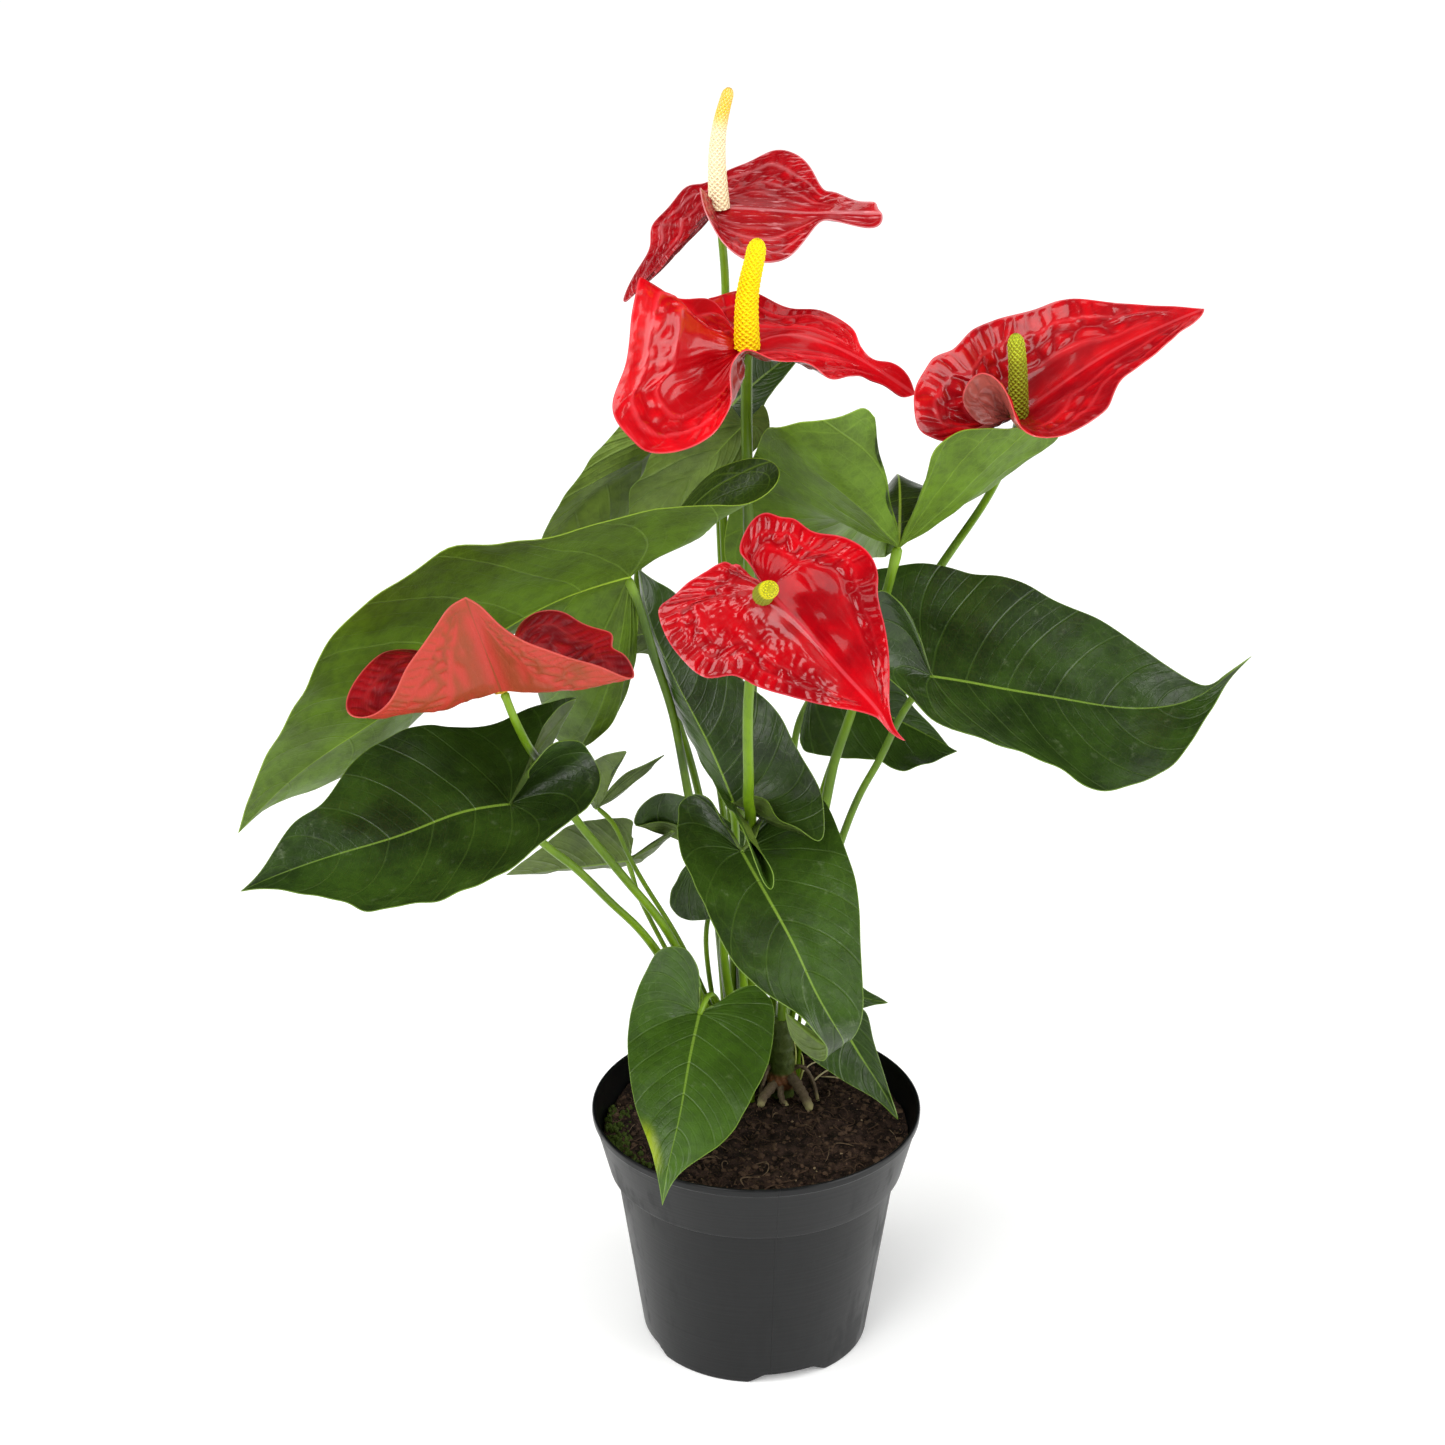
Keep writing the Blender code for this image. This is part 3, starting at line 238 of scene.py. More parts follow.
SOIL_Z, SOIL_R, SOIL_DOME = 118.0, 78.7, 1.5
rng = np.random.default_rng(11)


def waves(points, size, count, seed):
    """Smooth random surface: the mean of sine waves with random directions, near the given length."""
    r = np.random.default_rng(seed)
    k = unit(r.normal(size=(count, points.shape[-1]))) * 2 * np.pi / (size * r.uniform(0.6, 1.7, (count, 1)))
    return np.sin(points @ k.T + r.uniform(0, 2 * np.pi, count)).sum(-1) / np.sqrt(count)


def soil_height(x, y):
    """Dome plus three sizes of lump."""
    p = np.stack([x, y], -1)
    dome = SOIL_DOME * (1 - (x**2 + y**2) / 79**2)
    return SOIL_Z + dome + 0.9 * waves(p, 26, 12, 1) + 0.7 * waves(p, 9, 16, 2) + 0.35 * waves(p, 3.6, 24, 3)


soil_top = [(SOIL_R * (1 - i / 96), SOIL_Z) for i in range(97)]
soil_line = np.concatenate([[(0, 106), (74.6, 106), (78.4, 117)], soil_top])
grid, angle = turned(soil_line, 260)
top = grid[3:]
grid[3:, :, 2] = soil_height(top[..., 0], top[..., 1])
grid[-1, :, 2] = grid[-1, 0, 2]

peat, tree, shader = finish("damp peat", IOR=1.4, Roughness=0.92, Specular_IOR_Level=0.25)
# Peat: near-black brown with reddish fibre, matt all over.
fine, coarse = speckle(tree, 1.3, 5.0, 0.7), speckle(tree, 7.0, 4.0, 0.65)
colour = blend(tree, between(tree, coarse, 0.38, 0.66), linear("#1B1410"), linear("#42322A"))
colour = blend(tree, between(tree, fine, 0.56, 0.74), colour, linear("#7A5E4A"))
tree.links.new(colour, shader.inputs["Base Color"])
relief(tree, shader, calc(tree, "ADD", fine, coarse), 1.2)
points, tri, own = surfaced(grid)
piece("peat_surface", points, tri, peat, "soil", "peat", 80)

crumb_material, tree, shader = finish("peat crumbs", IOR=1.4, Roughness=0.9, Specular_IOR_Level=0.25)
# Crumbs: each has its own tone, from black peat through bark to pale perlite.
tone, fine = field(tree, "tone"), speckle(tree, 0.8, 4.0, 0.65)
colour = blend(tree, between(tree, tone, 0.0, 0.7), linear("#1A1310"), linear("#4E3D30"))
colour = blend(tree, between(tree, tone, 0.9, 0.98), colour, linear("#9A8668"))
colour = blend(tree, between(tree, fine, 0.45, 0.8, 0, 0.5), colour, linear("#6B5140"))
tree.links.new(colour, shader.inputs["Base Color"])
relief(tree, shader, fine, 0.4)

PHI = (1 + 5**0.5) / 2
ICO = unit(np.array([(-1, PHI, 0), (1, PHI, 0), (-1, -PHI, 0), (1, -PHI, 0), (0, -1, PHI), (0, 1, PHI),
                     (0, -1, -PHI), (0, 1, -PHI), (PHI, 0, -1), (PHI, 0, 1), (-PHI, 0, -1), (-PHI, 0, 1)]))
ICO_FACES = np.array([(0, 11, 5), (0, 5, 1), (0, 1, 7), (0, 7, 10), (0, 10, 11), (1, 5, 9), (5, 11, 4),
                      (11, 10, 2), (10, 7, 6), (7, 1, 8), (3, 9, 4), (3, 4, 2), (3, 2, 6), (3, 6, 8),
                      (3, 8, 9), (4, 9, 5), (2, 4, 11), (6, 2, 10), (8, 6, 7), (9, 8, 1)])


def halve_edges(points, faces):
    """Splits each triangle into four and pushes the new points out to the unit ball."""
    middle = unit((points[faces] + points[np.roll(faces, -1, 1)]).reshape(-1, 3))
    n = len(points) + np.arange(faces.size).reshape(-1, 3)
    parts = [(faces[:, 0], n[:, 0], n[:, 2]), (faces[:, 1], n[:, 1], n[:, 0]),
             (faces[:, 2], n[:, 2], n[:, 1]), (n[:, 0], n[:, 1], n[:, 2])]
    parts = np.concatenate([np.stack(p, 1) for p in parts])
    points, _, tri, _ = weld(np.concatenate([points, middle]), parts)
    return points, tri


BALL, BALL_FACES = halve_edges(ICO, ICO_FACES)


def lumps(centres, sizes, flatness, seed):
    """One ball for each centre, scaled three ways, turned at random and roughened."""
    r = np.random.default_rng(seed)
    count = len(centres)
    stretch = sizes[:, None] * r.uniform(0.6, 1.25, (count, 3))
    q = unit(r.normal(size=(count, 4)))
    w, x, y, z = q.T
    turnings = np.stack([1 - 2 * (y * y + z * z), 2 * (x * y - z * w), 2 * (x * z + y * w),
                         2 * (x * y + z * w), 1 - 2 * (x * x + z * z), 2 * (y * z - x * w),
                         2 * (x * z - y * w), 2 * (y * z + x * w), 1 - 2 * (x * x + y * y)], 1)
    turnings = turnings.reshape(-1, 3, 3)
    p = BALL[None] * (1 + 0.22 * r.normal(size=(count, len(BALL), 1))) * stretch[:, None]
    p = np.einsum("nij,nkj->nki", turnings, p) * [1, 1, flatness] + centres[:, None]
    faces = BALL_FACES[None] + np.arange(count)[:, None, None] * len(BALL)
    return p.reshape(-1, 3), faces.reshape(-1, 3)


CRUMBS = 2200
a, r = rng.uniform(0, 2 * np.pi, CRUMBS), 77 * np.sqrt(rng.uniform(0, 1, CRUMBS))
size = 0.35 + 1.5 * rng.uniform(0, 1, CRUMBS) ** 3
place = np.stack([r * np.cos(a), r * np.sin(a), soil_height(r * np.cos(a), r * np.sin(a)) + 0.25 * size], 1)
points, tri = lumps(place, size, 0.75, 4)
tones = rng.uniform(0, 1, CRUMBS)
tones = np.where(size > 0.8, np.minimum(tones, 0.75), tones)
corner_tone = np.repeat(tones, len(BALL_FACES) * 3)
piece("peat_crumbs", points, tri, crumb_material, None, "peat", 60, tone=corner_tone)


def smooth_line(points, samples=400):
    """Natural cubic through the points, its parameter the root of each chord, resampled by length."""
    p = np.asarray(points, float)
    n = len(p)
    c = np.concatenate([[0.0], np.cumsum(np.sqrt(np.linalg.norm(np.diff(p, axis=0), axis=1)))])
    c = c / c[-1]
    h = np.diff(c)
    a = np.eye(n)
    b = np.zeros((n, 3))
    for i in range(1, n - 1):
        a[i, i - 1:i + 2] = h[i - 1], 2 * (h[i - 1] + h[i]), h[i]
        b[i] = 6 * ((p[i + 1] - p[i]) / h[i] - (p[i] - p[i - 1]) / h[i - 1])
    m = np.linalg.solve(a, b)
    t = np.linspace(0, 1, samples)
    i = np.clip(np.searchsorted(c, t, "right") - 1, 0, n - 2)
    hi = h[i][:, None]
    u, v = (c[i + 1] - t)[:, None], (t - c[i])[:, None]
    q = (m[i] * u**3 + m[i + 1] * v**3) / (6 * hi)
    q += (p[i] / hi - m[i] * hi / 6) * u + (p[i + 1] / hi - m[i + 1] * hi / 6) * v
    return at_fraction(q, np.linspace(0, 1, samples))


def at_fraction(line, f):
    """Points at fractions of a line's length."""
    s = np.concatenate([[0.0], np.cumsum(np.linalg.norm(np.diff(line, axis=0), axis=1))])
    return np.stack([np.interp(f, s / s[-1], line[:, k]) for k in range(3)], axis=1)


def tube(path, radius, sides, rows, squash=0.0):
    """Profile carried along a path: centre(f) + r(f, a) (cos a, sin a) in the plane across the path. radius
    is radii evenly along it, or a function of length from the start, length left and angle. The ends close
    to a pole."""
    line = smooth_line(path)
    length = np.linalg.norm(np.diff(line, axis=0), axis=1).sum()
    f = np.linspace(0, 1, rows)
    centre = at_fraction(line, f)
    along = unit(np.gradient(at_fraction(line, np.linspace(0, 1, 400)), axis=0))
    along = np.stack([np.interp(f, np.linspace(0, 1, 400), along[:, k]) for k in range(3)], 1)
    side_a = unit(np.cross(along, [0.0, 1.0, 0.17]))
    side_b = np.cross(along, side_a)
    a = np.linspace(0, 2 * np.pi, sides + 1)
    if callable(radius):
        r = radius(f[:, None] * length, (1 - f[:, None]) * length, a[None, :])
    else:
        r = np.interp(f, np.linspace(0, 1, len(radius)), radius)[:, None] + 0 * a[None, :]
    r[[0, -1]] = 0
    grid = centre[:, None] + r[..., None] * (np.cos(a)[None, :, None] * side_a[:, None]
                                             + (1 - squash) * np.sin(a)[None, :, None] * side_b[:, None])
    grid[:, -1] = grid[:, 0]
    return grid, f, a, length


def joined(parts):
    """Several (points, triangles) as one."""
    start = np.cumsum([0] + [len(p) for p, _ in parts[:-1]])
    return (np.concatenate([p for p, _ in parts]),
            np.concatenate([t + s for (_, t), s in zip(parts, start)]))


def closed_tube(*args, **settings):
    """A tube's points and triangles alone."""
    return surfaced(tube(*args, **settings)[0])[:2]


FIBRES = 230
strands = []
for k in range(FIBRES):
    a, r = rng.uniform(0, 2 * np.pi), 75 * np.sqrt(rng.uniform())
    way, bend = rng.uniform(0, 6.3), rng.normal(0, 1.4)
    reach = rng.uniform(4, 15)
    t = np.linspace(0, 1, 5)
    x = r * np.cos(a) + reach * t * np.cos(way + bend * t)
    y = r * np.sin(a) + reach * t * np.sin(way + bend * t)
    back = np.minimum(1, 77 / np.hypot(x, y))
    x, y = x * back, y * back
    z = soil_height(x, y) + 0.5 + rng.uniform(0, 2.2) * np.sin(np.pi * t) * rng.uniform()
    width = rng.uniform(0.16, 0.42)
    strands.append(closed_tube(np.stack([x, y, z], 1), (width, width, width * 0.5), 5, 9))
tones = np.repeat(np.where(rng.uniform(0, 1, FIBRES) > 0.88, 0.93, rng.uniform(0.3, 0.84, FIBRES)),
                  [len(t) * 3 for _, t in strands])
piece("peat_fibres", *joined(strands), crumb_material, None, "peat", 80, tone=tones)

# Moss: low green tufts, each one small roughened lump, taller than it is wide.
mat, tree, shader = finish("cushion moss", IOR=1.4, Roughness=0.8, Specular_IOR_Level=0.3)
colour = blend(tree, speckle(tree, 3.0), linear("#1E2A0C"), linear("#4E5E22"))
tree.links.new(colour, shader.inputs["Base Color"])
TUFTS = 260
a = np.radians(rng.normal(197, 15, TUFTS))
r = 78 - np.abs(rng.normal(0, 6, TUFTS))
x, y = r * np.cos(a), r * np.sin(a)
size = rng.uniform(0.5, 1.3, TUFTS)
place = np.stack([x, y, soil_height(x, y) + size * 0.6], 1)
piece("moss", *lumps(place, size, 1.5, 8), mat, None, "peat", 60)

# Crown: the short thick stem that everything grows from, green with old leaf scars, wrapped at its foot
# in a dry brown sheath, with stubby aerial roots that bend down into the peat.

CROWN_X, CROWN_Y = 14.0, 33.0
crown_line = rounded([
    (0, 106, 0), (5.6, 108, 0.8), (6.4, 114, 1), (6.6, 124, 1), (7.7, 127, 0.9),
    (7.9, 129.5, 0.8), (6.9, 131.5, 0.6), (6.5, 134, 1), (6.6, 140, 1), (6.0, 142, 0.6),
    (6.3, 147, 0.8), (5.7, 149, 0.5), (5.9, 155, 0.8),
    (5.2, 157, 0.5), (5.2, 162, 0.8), (4.4, 164.6, 0.8), (0, 165.2, 0)], 0.9)
grid, angle = turned(crown_line, 72, (CROWN_X, CROWN_Y))
out = unit((grid - [CROWN_X, CROWN_Y, 0]) * [1, 1, 0])
dry = np.exp(-((grid[..., 2] - 129) / 4.2) ** 2)
wrinkle = 0.35 * dry * np.sin(11 * angle + 0.9 * grid[..., 2]) + 0.18 * waves(grid, 5, 12, 21)
grid = grid + out * wrinkle[..., None]
grid[:, -1] = grid[:, 0]

bark, tree, shader = finish("green stem bark", IOR=1.42, Roughness=0.5)
# Stem: olive green darkened partly as painted shade, drying to papery reddish brown at the sheath ring, with
# pale corky specks.
fine, coarse, dryness = speckle(tree, 1.0, 5.0, 0.65), speckle(tree, 5.0), field(tree, "dry")
colour = blend(tree, coarse, linear("#36461A"), linear("#5C6C28"))
brown = blend(tree, fine, linear("#4A2A18"), linear("#A06A42"))
colour = blend(tree, between(tree, dryness, 0.15, 0.55), colour, brown)
colour = blend(tree, between(tree, fine, 0.6, 0.8, 0, 0.55), colour, linear("#A89A6A"))
tree.links.new(colour, shader.inputs["Base Color"])
relief(tree, shader, calc(tree, "ADD", fine, coarse), 0.35)
points, tri, own = surfaced(grid)
piece("crown_stem", points, tri, bark, "crown", "stem", 60, dry=dry.reshape(-1)[own])

root_skin, tree, shader = finish("aerial root", IOR=1.4, Roughness=0.7)
# Aerial roots: grey-brown and corky with a grown greenish tip.
fine, tip = speckle(tree, 0.9, 5.0, 0.7), field(tree, "tip")
colour = blend(tree, fine, linear("#3C3024"), linear("#85745A"))
colour = blend(tree, between(tree, tip, 0.72, 1.0), colour, linear("#B9B27A"))
tree.links.new(colour, shader.inputs["Base Color"])
relief(tree, shader, fine, 0.35)

ROOTS = [
    ([(13, 32, 127), (11, 29, 128), (8, 25, 127), (4, 20, 124), (2, 17, 119.5)], 2.9, 2.1),
    ([(16, 32, 129), (19, 28, 131), (22, 24, 129), (26, 19, 124), (29, 15, 119)], 3.2, 2.3),
    ([(14, 30, 128), (13, 25, 126), (14, 21, 122), (17, 19, 119)], 2.0, 1.5),
    ([(10, 33, 134), (7, 31, 136), (5, 28, 133), (3, 26, 126), (2, 24, 118)], 1.3, 1.0),
    ([(19, 33, 133), (24, 32, 136), (29, 30, 131), (32, 28, 122), (33, 27, 117)], 1.2, 0.9),
]
roots, tips = [], []
for k, (path, thick, thin) in enumerate(ROOTS):
    def skin(start, left, a, thick=thick, thin=thin, k=k):
        body = thick + (thin - thick) * start / (start + left)
        lump = 1 + 0.09 * np.sin(start * 1.9 + 2 * np.sin(a + k)) + 0.05 * np.sin(3 * a + start)
        return body * lump * np.sqrt(np.clip(1 - (1 - np.minimum(left / (1.5 * thin), 1)) ** 2, 0.02, 1))
    grid, f, a, _ = tube(path, skin, 20, 44)
    points, tri, own = surfaced(grid)
    roots.append((points, tri))
    tips.append(np.repeat(f, len(a))[own].ravel())
piece("aerial_roots", *joined(roots), root_skin, None, "stem", 80, tip=np.concatenate(tips))

# Pale thread roots at the right back, and two thin curved yellow-green shoots beside the crown.
mat, tree, shader = finish("young root", IOR=1.4, Roughness=0.5)
colour = blend(tree, speckle(tree, 4.0), linear("#B9A878"), linear("#DCD3A8"))
tree.links.new(colour, shader.inputs["Base Color"])
threads = [
    closed_tube([(30, 44, 119), (38, 48, 124), (47, 52, 123), (56, 55, 119)], (0.5, 0.4), 8, 24),
    closed_tube([(34, 50, 119), (40, 45, 122), (48, 42, 122), (57, 41, 118.5)], (0.45, 0.3), 8, 24),
    closed_tube([(24, 52, 119), (31, 58, 123), (40, 62, 121), (47, 63, 118.5)], (0.4, 0.3), 8, 24),
]
piece("thread_roots", *joined(threads), mat, None, "stem", 80)
mat, tree, shader = finish("young shoot", IOR=1.42, Roughness=0.42)
colour = blend(tree, speckle(tree, 6.0), linear("#A9B650"), linear("#D3D68A"))
tree.links.new(colour, shader.inputs["Base Color"])
shoots = [
    closed_tube([(18, 36, 119), (20, 35, 131), (21, 33, 143), (20, 32, 152)], (1.0, 0.8, 0.3), 10, 30),
    closed_tube([(21, 37, 119), (24, 36, 128), (25, 35, 137), (24, 34, 143)], (0.9, 0.7, 0.25), 10, 30),
]
piece("young_shoots", *joined(shoots), mat, None, "stem", 80)

# Leaves: thin leathery heart-shaped blades on round stalks, with sunken veins above and raised ones
# below. Each joins its stalk in a swollen knee. Old blades are dark and waxy, and two are lit through:
# their bright greens are painted light shining through them.

# Each leaf: midrib from junction to tip, then the right and left margins seen from the junction on the
# upper face, each from the notch round the lobe to just short of the tip. stalk runs down into the soil.
LEAVES = {
    "leaf_left_high": dict(
        mid=[(-62, -10, 431), (-109, -22, 417), (-174, -40, 376), (-219, -50, 347), (-251, -50, 313)],
        right=[(-58, -5, 421), (-59, 3, 392), (-64, 12, 361), (-84, 20, 327), (-102, 32, 326),
               (-113, 50, 361), (-126, 60, 374), (-168, 40, 342), (-179, 0, 337), (-209, -22, 326),
               (-236, -38, 322)],
        left=[(-53, -2, 437), (-33, 8, 466), (-11, -6, 488), (7, -22, 492), (9, -30, 488),
              (-5, -44, 481), (-31, -52, 482), (-62, -62, 481), (-100, -70, 473), (-124, -76, 472),
              (-141, -80, 471), (-173, -85, 453), (-196, -86, 431), (-215, -80, 395), (-236, -66, 355)],
        stalk=[(-61, -8, 430), (-57, -6, 411), (-50, -4, 384), (-42, -2, 355), (-34, 6, 305),
               (-26, 10, 267), (-19, 14, 226), (-11, 37, 134), (-11, 37, 121), (-11, 37, 106)],
        stalk_r=(2.0, 2.6), veins=(4, 7), seed=0, tone=0.25, stalk_tone=0.2,
        bow=(-0.06, 0)),
    "leaf_left_low": dict(
        mid=[(-118, -72, 339), (-142, -80, 338), (-167, -90, 332), (-196, -98, 326), (-224, -106, 319),
             (-242, -112, 313)],
        right=[(-115, -72, 345), (-110, -66, 355), (-107, -58, 363), (-100, -50, 374), (-92, -42, 378),
               (-87, -32, 376), (-106, -14, 365), (-120, -12, 358), (-137, -20, 355), (-162, -36, 363),
               (-176, -46, 362), (-193, -60, 355), (-206, -85, 345), (-218, -92, 339), (-232, -106, 322)],
        left=[(-113, -76, 349), (-105, -86, 367), (-96, -86, 378), (-86, -80, 377), (-80, -70, 365),
              (-75, -76, 357), (-77, -84, 350), (-85, -98, 345), (-100, -118, 342), (-117, -132, 333),
              (-135, -138, 328), (-149, -140, 323), (-163, -142, 322), (-180, -140, 316),
              (-192, -132, 317), (-215, -122, 318), (-231, -115, 316)],
        stalk=[(-117, -70, 337), (-103, -60, 312), (-89, -46, 292), (-71, -24, 260), (-51, 0, 222),
               (-18, 24, 134), (-18, 24, 121), (-18, 24, 106)],
        stalk_r=(1.9, 2.4), veins=(4, 6), seed=3, tone=0.15, stalk_tone=0.6,
        bow=(-0.02, -0.06)),
    "leaf_front_low": dict(
        mid=[(-29, -20, 197), (-34, -45, 184), (-39, -72, 166), (-44, -88, 150), (-47, -97, 132)],
        right=[(-30, -18, 203), (-29, -16, 217), (-34, -12, 228), (-41, -10, 230), (-49, -10, 228),
               (-55, -12, 219), (-61, -18, 206), (-65, -25, 191), (-64, -45, 177), (-60, -62, 165),
               (-54, -76, 155), (-49, -90, 142)],
        left=[(-27, -18, 198), (-20, -14, 199), (-11, -6, 202), (-2, -2, 203), (4, -6, 201),
              (8, -14, 199), (8, -30, 191), (3, -52, 180), (-8, -70, 166), (-21, -82, 156),
              (-39, -90, 145)],
        stalk=[(-29, -17, 197), (-23, -8, 201), (-11, 24, 134), (-11, 24, 121), (-11, 24, 106)],
        stalk_r=(1.4, 1.8), veins=(4, 6), yellow_spot=(-55, -78, 153), seed=5, tone=0.85, stalk_tone=0.6),
    "leaf_front_mid": dict(
        mid=[(-8, -46, 301), (4, -74, 291), (17, -98, 276), (27, -114, 260), (37, -123, 245),
             (40, -120, 236), (32, -104, 226), (13, -86, 234)],
        right=[(-10, -46, 303), (-14, -44, 310), (-18, -42, 317), (-23, -36, 323), (-31, -32, 325),
               (-38, -34, 321), (-39, -41, 317), (-39, -53, 310), (-35, -65, 304), (-31, -72, 300),
               (-25, -88, 291), (-16, -103, 278), (-6, -112, 268), (7, -120, 261), (20, -124, 253),
               (28, -124, 243), (33, -120, 233), (32, -112, 223), (29, -104, 218), (21, -94, 218),
               (15, -88, 226)],
        left=[(-4, -44, 303), (1, -40, 310), (6, -27, 315), (15, -12, 318), (25, -12, 319),
              (33, -20, 315), (42, -53, 306), (47, -73, 295), (48, -95, 277), (49, -111, 260),
              (48, -121, 249), (44, -117, 237), (38, -105, 229), (26, -93, 228)],
        stalk=[(-8, -46, 302), (-9, -34, 287), (-13, -14, 258), (-17, 2, 224), (-7, 31, 134),
               (-7, 31, 121), (-7, 31, 106)],
        # tone: the half along the left margin is painted paler, a painted sheen.
        stalk_r=(2.0, 2.6), veins=(4, 6), seed=7, tone=(0.3, 0.5), stalk_tone=0.6),
    "leaf_centre": dict(
        mid=[(-12, -24, 316), (-23, -20, 343), (-34, -14, 364), (-46, -6, 387), (-54, 4, 407),
             (-58, 8, 427)],
        right=[(-7, -27, 321), (3, -40, 326), (10, -50, 320), (20, -56, 317), (28, -58, 312),
               (31, -56, 313), (32, -48, 319), (30, -36, 329), (19, -22, 345), (8, -12, 362),
               (-4, -4, 370), (-21, 4, 386), (-33, 10, 402), (-41, 12, 413), (-50, 12, 419)],
        left=[(-12, -35, 317), (-9, -53, 319), (-1, -69, 315), (7, -80, 306), (6, -82, 299),
              (2, -84, 305), (-5, -80, 321), (-11, -58, 326), (-19, -20, 319), (-30, 0, 336),
              (-42, 8, 355), (-49, 12, 370), (-52, 14, 384), (-57, 14, 413)],
        stalk=[(-12, -22, 314), (-11, -10, 295), (-10, 6, 253), (-3, 24, 134), (-3, 24, 121),
               (-3, 24, 106)],
        # tone: the half along the left margin is painted paler, a painted sheen.
        stalk_r=(1.9, 2.4), veins=(4, 6), seed=9, tone=(0.2, 0.8), stalk_tone=0.8,
        bow=(-0.04, 0)),
    "leaf_right": dict(
        mid=[(84, -10, 378), (101, -5, 373), (120, 0, 367), (147, 5, 360), (173, 8, 354), (192, 8, 353),
             (208, 5, 357), (219, 2, 364), (227, 0, 372), (240, -2, 385)],
        right=[(80, -12, 390), (75, -14, 407), (68, -16, 419), (59, -14, 425), (52, -14, 417),
               (52, -16, 400), (58, -20, 385), (74, -26, 373), (83, -32, 366), (92, -36, 363),
               (105, -40, 360), (124, -46, 354), (148, -50, 344), (159, -50, 337), (169, -46, 334),
               (184, -38, 334), (202, -26, 339), (214, -14, 350), (223, -6, 361), (229, -1, 370)],
        left=[(79, -6, 387), (71, 2, 400), (62, 12, 409), (55, 20, 414), (54, 28, 417), (63, 34, 417),
              (71, 38, 417), (87, 42, 416), (106, 44, 410), (126, 44, 407), (148, 40, 397),
              (167, 36, 390), (186, 28, 380), (199, 18, 374), (210, 10, 369), (219, 4, 367),
              (227, 0, 373)],
        stalk=[(83, -8, 376), (75, 0, 361), (66, 8, 338), (59, 13, 319), (47, 20, 288), (16, 57, 134),
               (16, 57, 121), (16, 57, 106)],
        stalk_r=(1.8, 2.3), veins=(4, 7), seed=12, tone=0.2, stalk_tone=0.5),
    "leaf_right_high": dict(
        mid=[(67, -5, 444), (69, 28, 451), (70, 62, 453), (70, 95, 442), (69, 125, 408), (68, 140, 381)],
        right=[(69, -8, 449), (73, -16, 463), (77, -26, 481), (79, -34, 497), (83, -36, 506),
               (90, -34, 511), (100, -30, 512), (115, -20, 508), (130, -8, 506), (140, 0, 502),
               (143, 4, 496), (139, 6, 490), (125, 10, 480), (116, 20, 469), (100, 60, 443),
               (86, 105, 410)],
        left=[(64, -8, 449), (61, -14, 461), (56, -24, 483), (52, -34, 507), (52, -38, 519),
              (48, -42, 526), (42, -46, 525), (32, -50, 523), (18, -50, 521), (6, -32, 513),
              (2, -18, 506), (-2, 3, 487), (-8, 18, 469), (-13, 27, 452), (-16, 29, 438), (-16, 31, 424),
              (-10, 36, 412), (6, 50, 404), (30, 76, 396), (52, 108, 390)],
        stalk=[(66, -3, 442), (61, 0, 414), (46, 10, 349), (39, 15, 323), (35, 19, 299), (12, 50, 134),
               (12, 50, 121), (12, 50, 106)],
        stalk_r=(2.2, 3.0), veins=(5, 7), seed=14, tone=0.3, stalk_tone=0.6),
    "leaf_right_back": dict(
        mid=[(29, 50, 344), (47, 54, 337), (73, 52, 326), (102, 46, 312)],
        right=[(26, 44, 341), (22, 40, 329), (23, 36, 318), (29, 34, 316), (42, 32, 315), (57, 30, 315),
               (64, 30, 313), (73, 28, 309), (79, 30, 310), (88, 34, 311), (96, 42, 311)],
        left=[(28, 53, 348), (22, 56, 358), (27, 58, 371), (42, 60, 376), (57, 60, 367), (70, 58, 355),
              (75, 56, 342), (79, 54, 334), (91, 50, 322), (98, 47, 314)],
        stalk=[(28, 52, 342), (22, 56, 325), (17, 54, 281), (8, 57, 134), (8, 57, 121), (8, 57, 106)],
        stalk_r=(1.7, 2.2), veins=(4, 5), seed=16, tone=0.45, stalk_tone=0.5),
    "leaf_back_left": dict(
        mid=[(-44, 40, 486), (-55, 38, 475), (-76, 42, 458), (-93, 48, 439), (-114, 58, 398)],
        right=[(-41, 44, 480), (-46, 50, 470), (-53, 54, 465), (-57, 56, 462), (-62, 58, 451),
               (-64, 60, 440), (-68, 62, 423), (-79, 62, 410), (-96, 60, 400)],
        left=[(-46, 40, 490), (-53, 40, 498), (-63, 36, 494), (-74, 32, 483), (-81, 30, 476),
              (-85, 30, 469), (-92, 32, 459), (-98, 36, 449), (-107, 46, 426)],
        stalk=[(-43, 42, 484), (-42, 56, 460), (-59, 68, 408), (-54, 70, 358), (-29, 66, 275),
               (-15, 57, 134), (-15, 57, 121), (-15, 57, 106)],
        stalk_r=(1.8, 2.3), veins=(4, 5), seed=18, tone=1.0, stalk_tone=0.5),
    "leaf_back_centre": dict(
        mid=[(-7, 34, 492), (-18, 32, 481), (-27, 32, 471), (-39, 34, 461), (-48, 36, 448),
             (-60, 40, 429), (-72, 46, 414)],
        right=[(-3, 34, 495), (2, 38, 500), (5, 36, 493), (4, 34, 486), (-3, 32, 478), (-18, 30, 464),
               (-33, 32, 451), (-53, 40, 429)],
        left=[(-11, 34, 496), (-18, 34, 504), (-28, 32, 502), (-38, 28, 493), (-52, 26, 479),
              (-56, 26, 469), (-62, 28, 461), (-63, 32, 447), (-68, 40, 429)],
        stalk=[(-8, 36, 490), (-10, 42, 465), (-11, 44, 438), (-11, 44, 412), (-9, 44, 341),
               (-7, 44, 134), (-7, 44, 121), (-7, 44, 106)],
        stalk_r=(2.0, 2.5), veins=(4, 5), seed=20, tone=0.7, stalk_tone=0.1),
    "leaf_back_high": dict(
        mid=[(-18, 80, 480), (-3, 82, 495), (13, 84, 508), (28, 84, 521)],
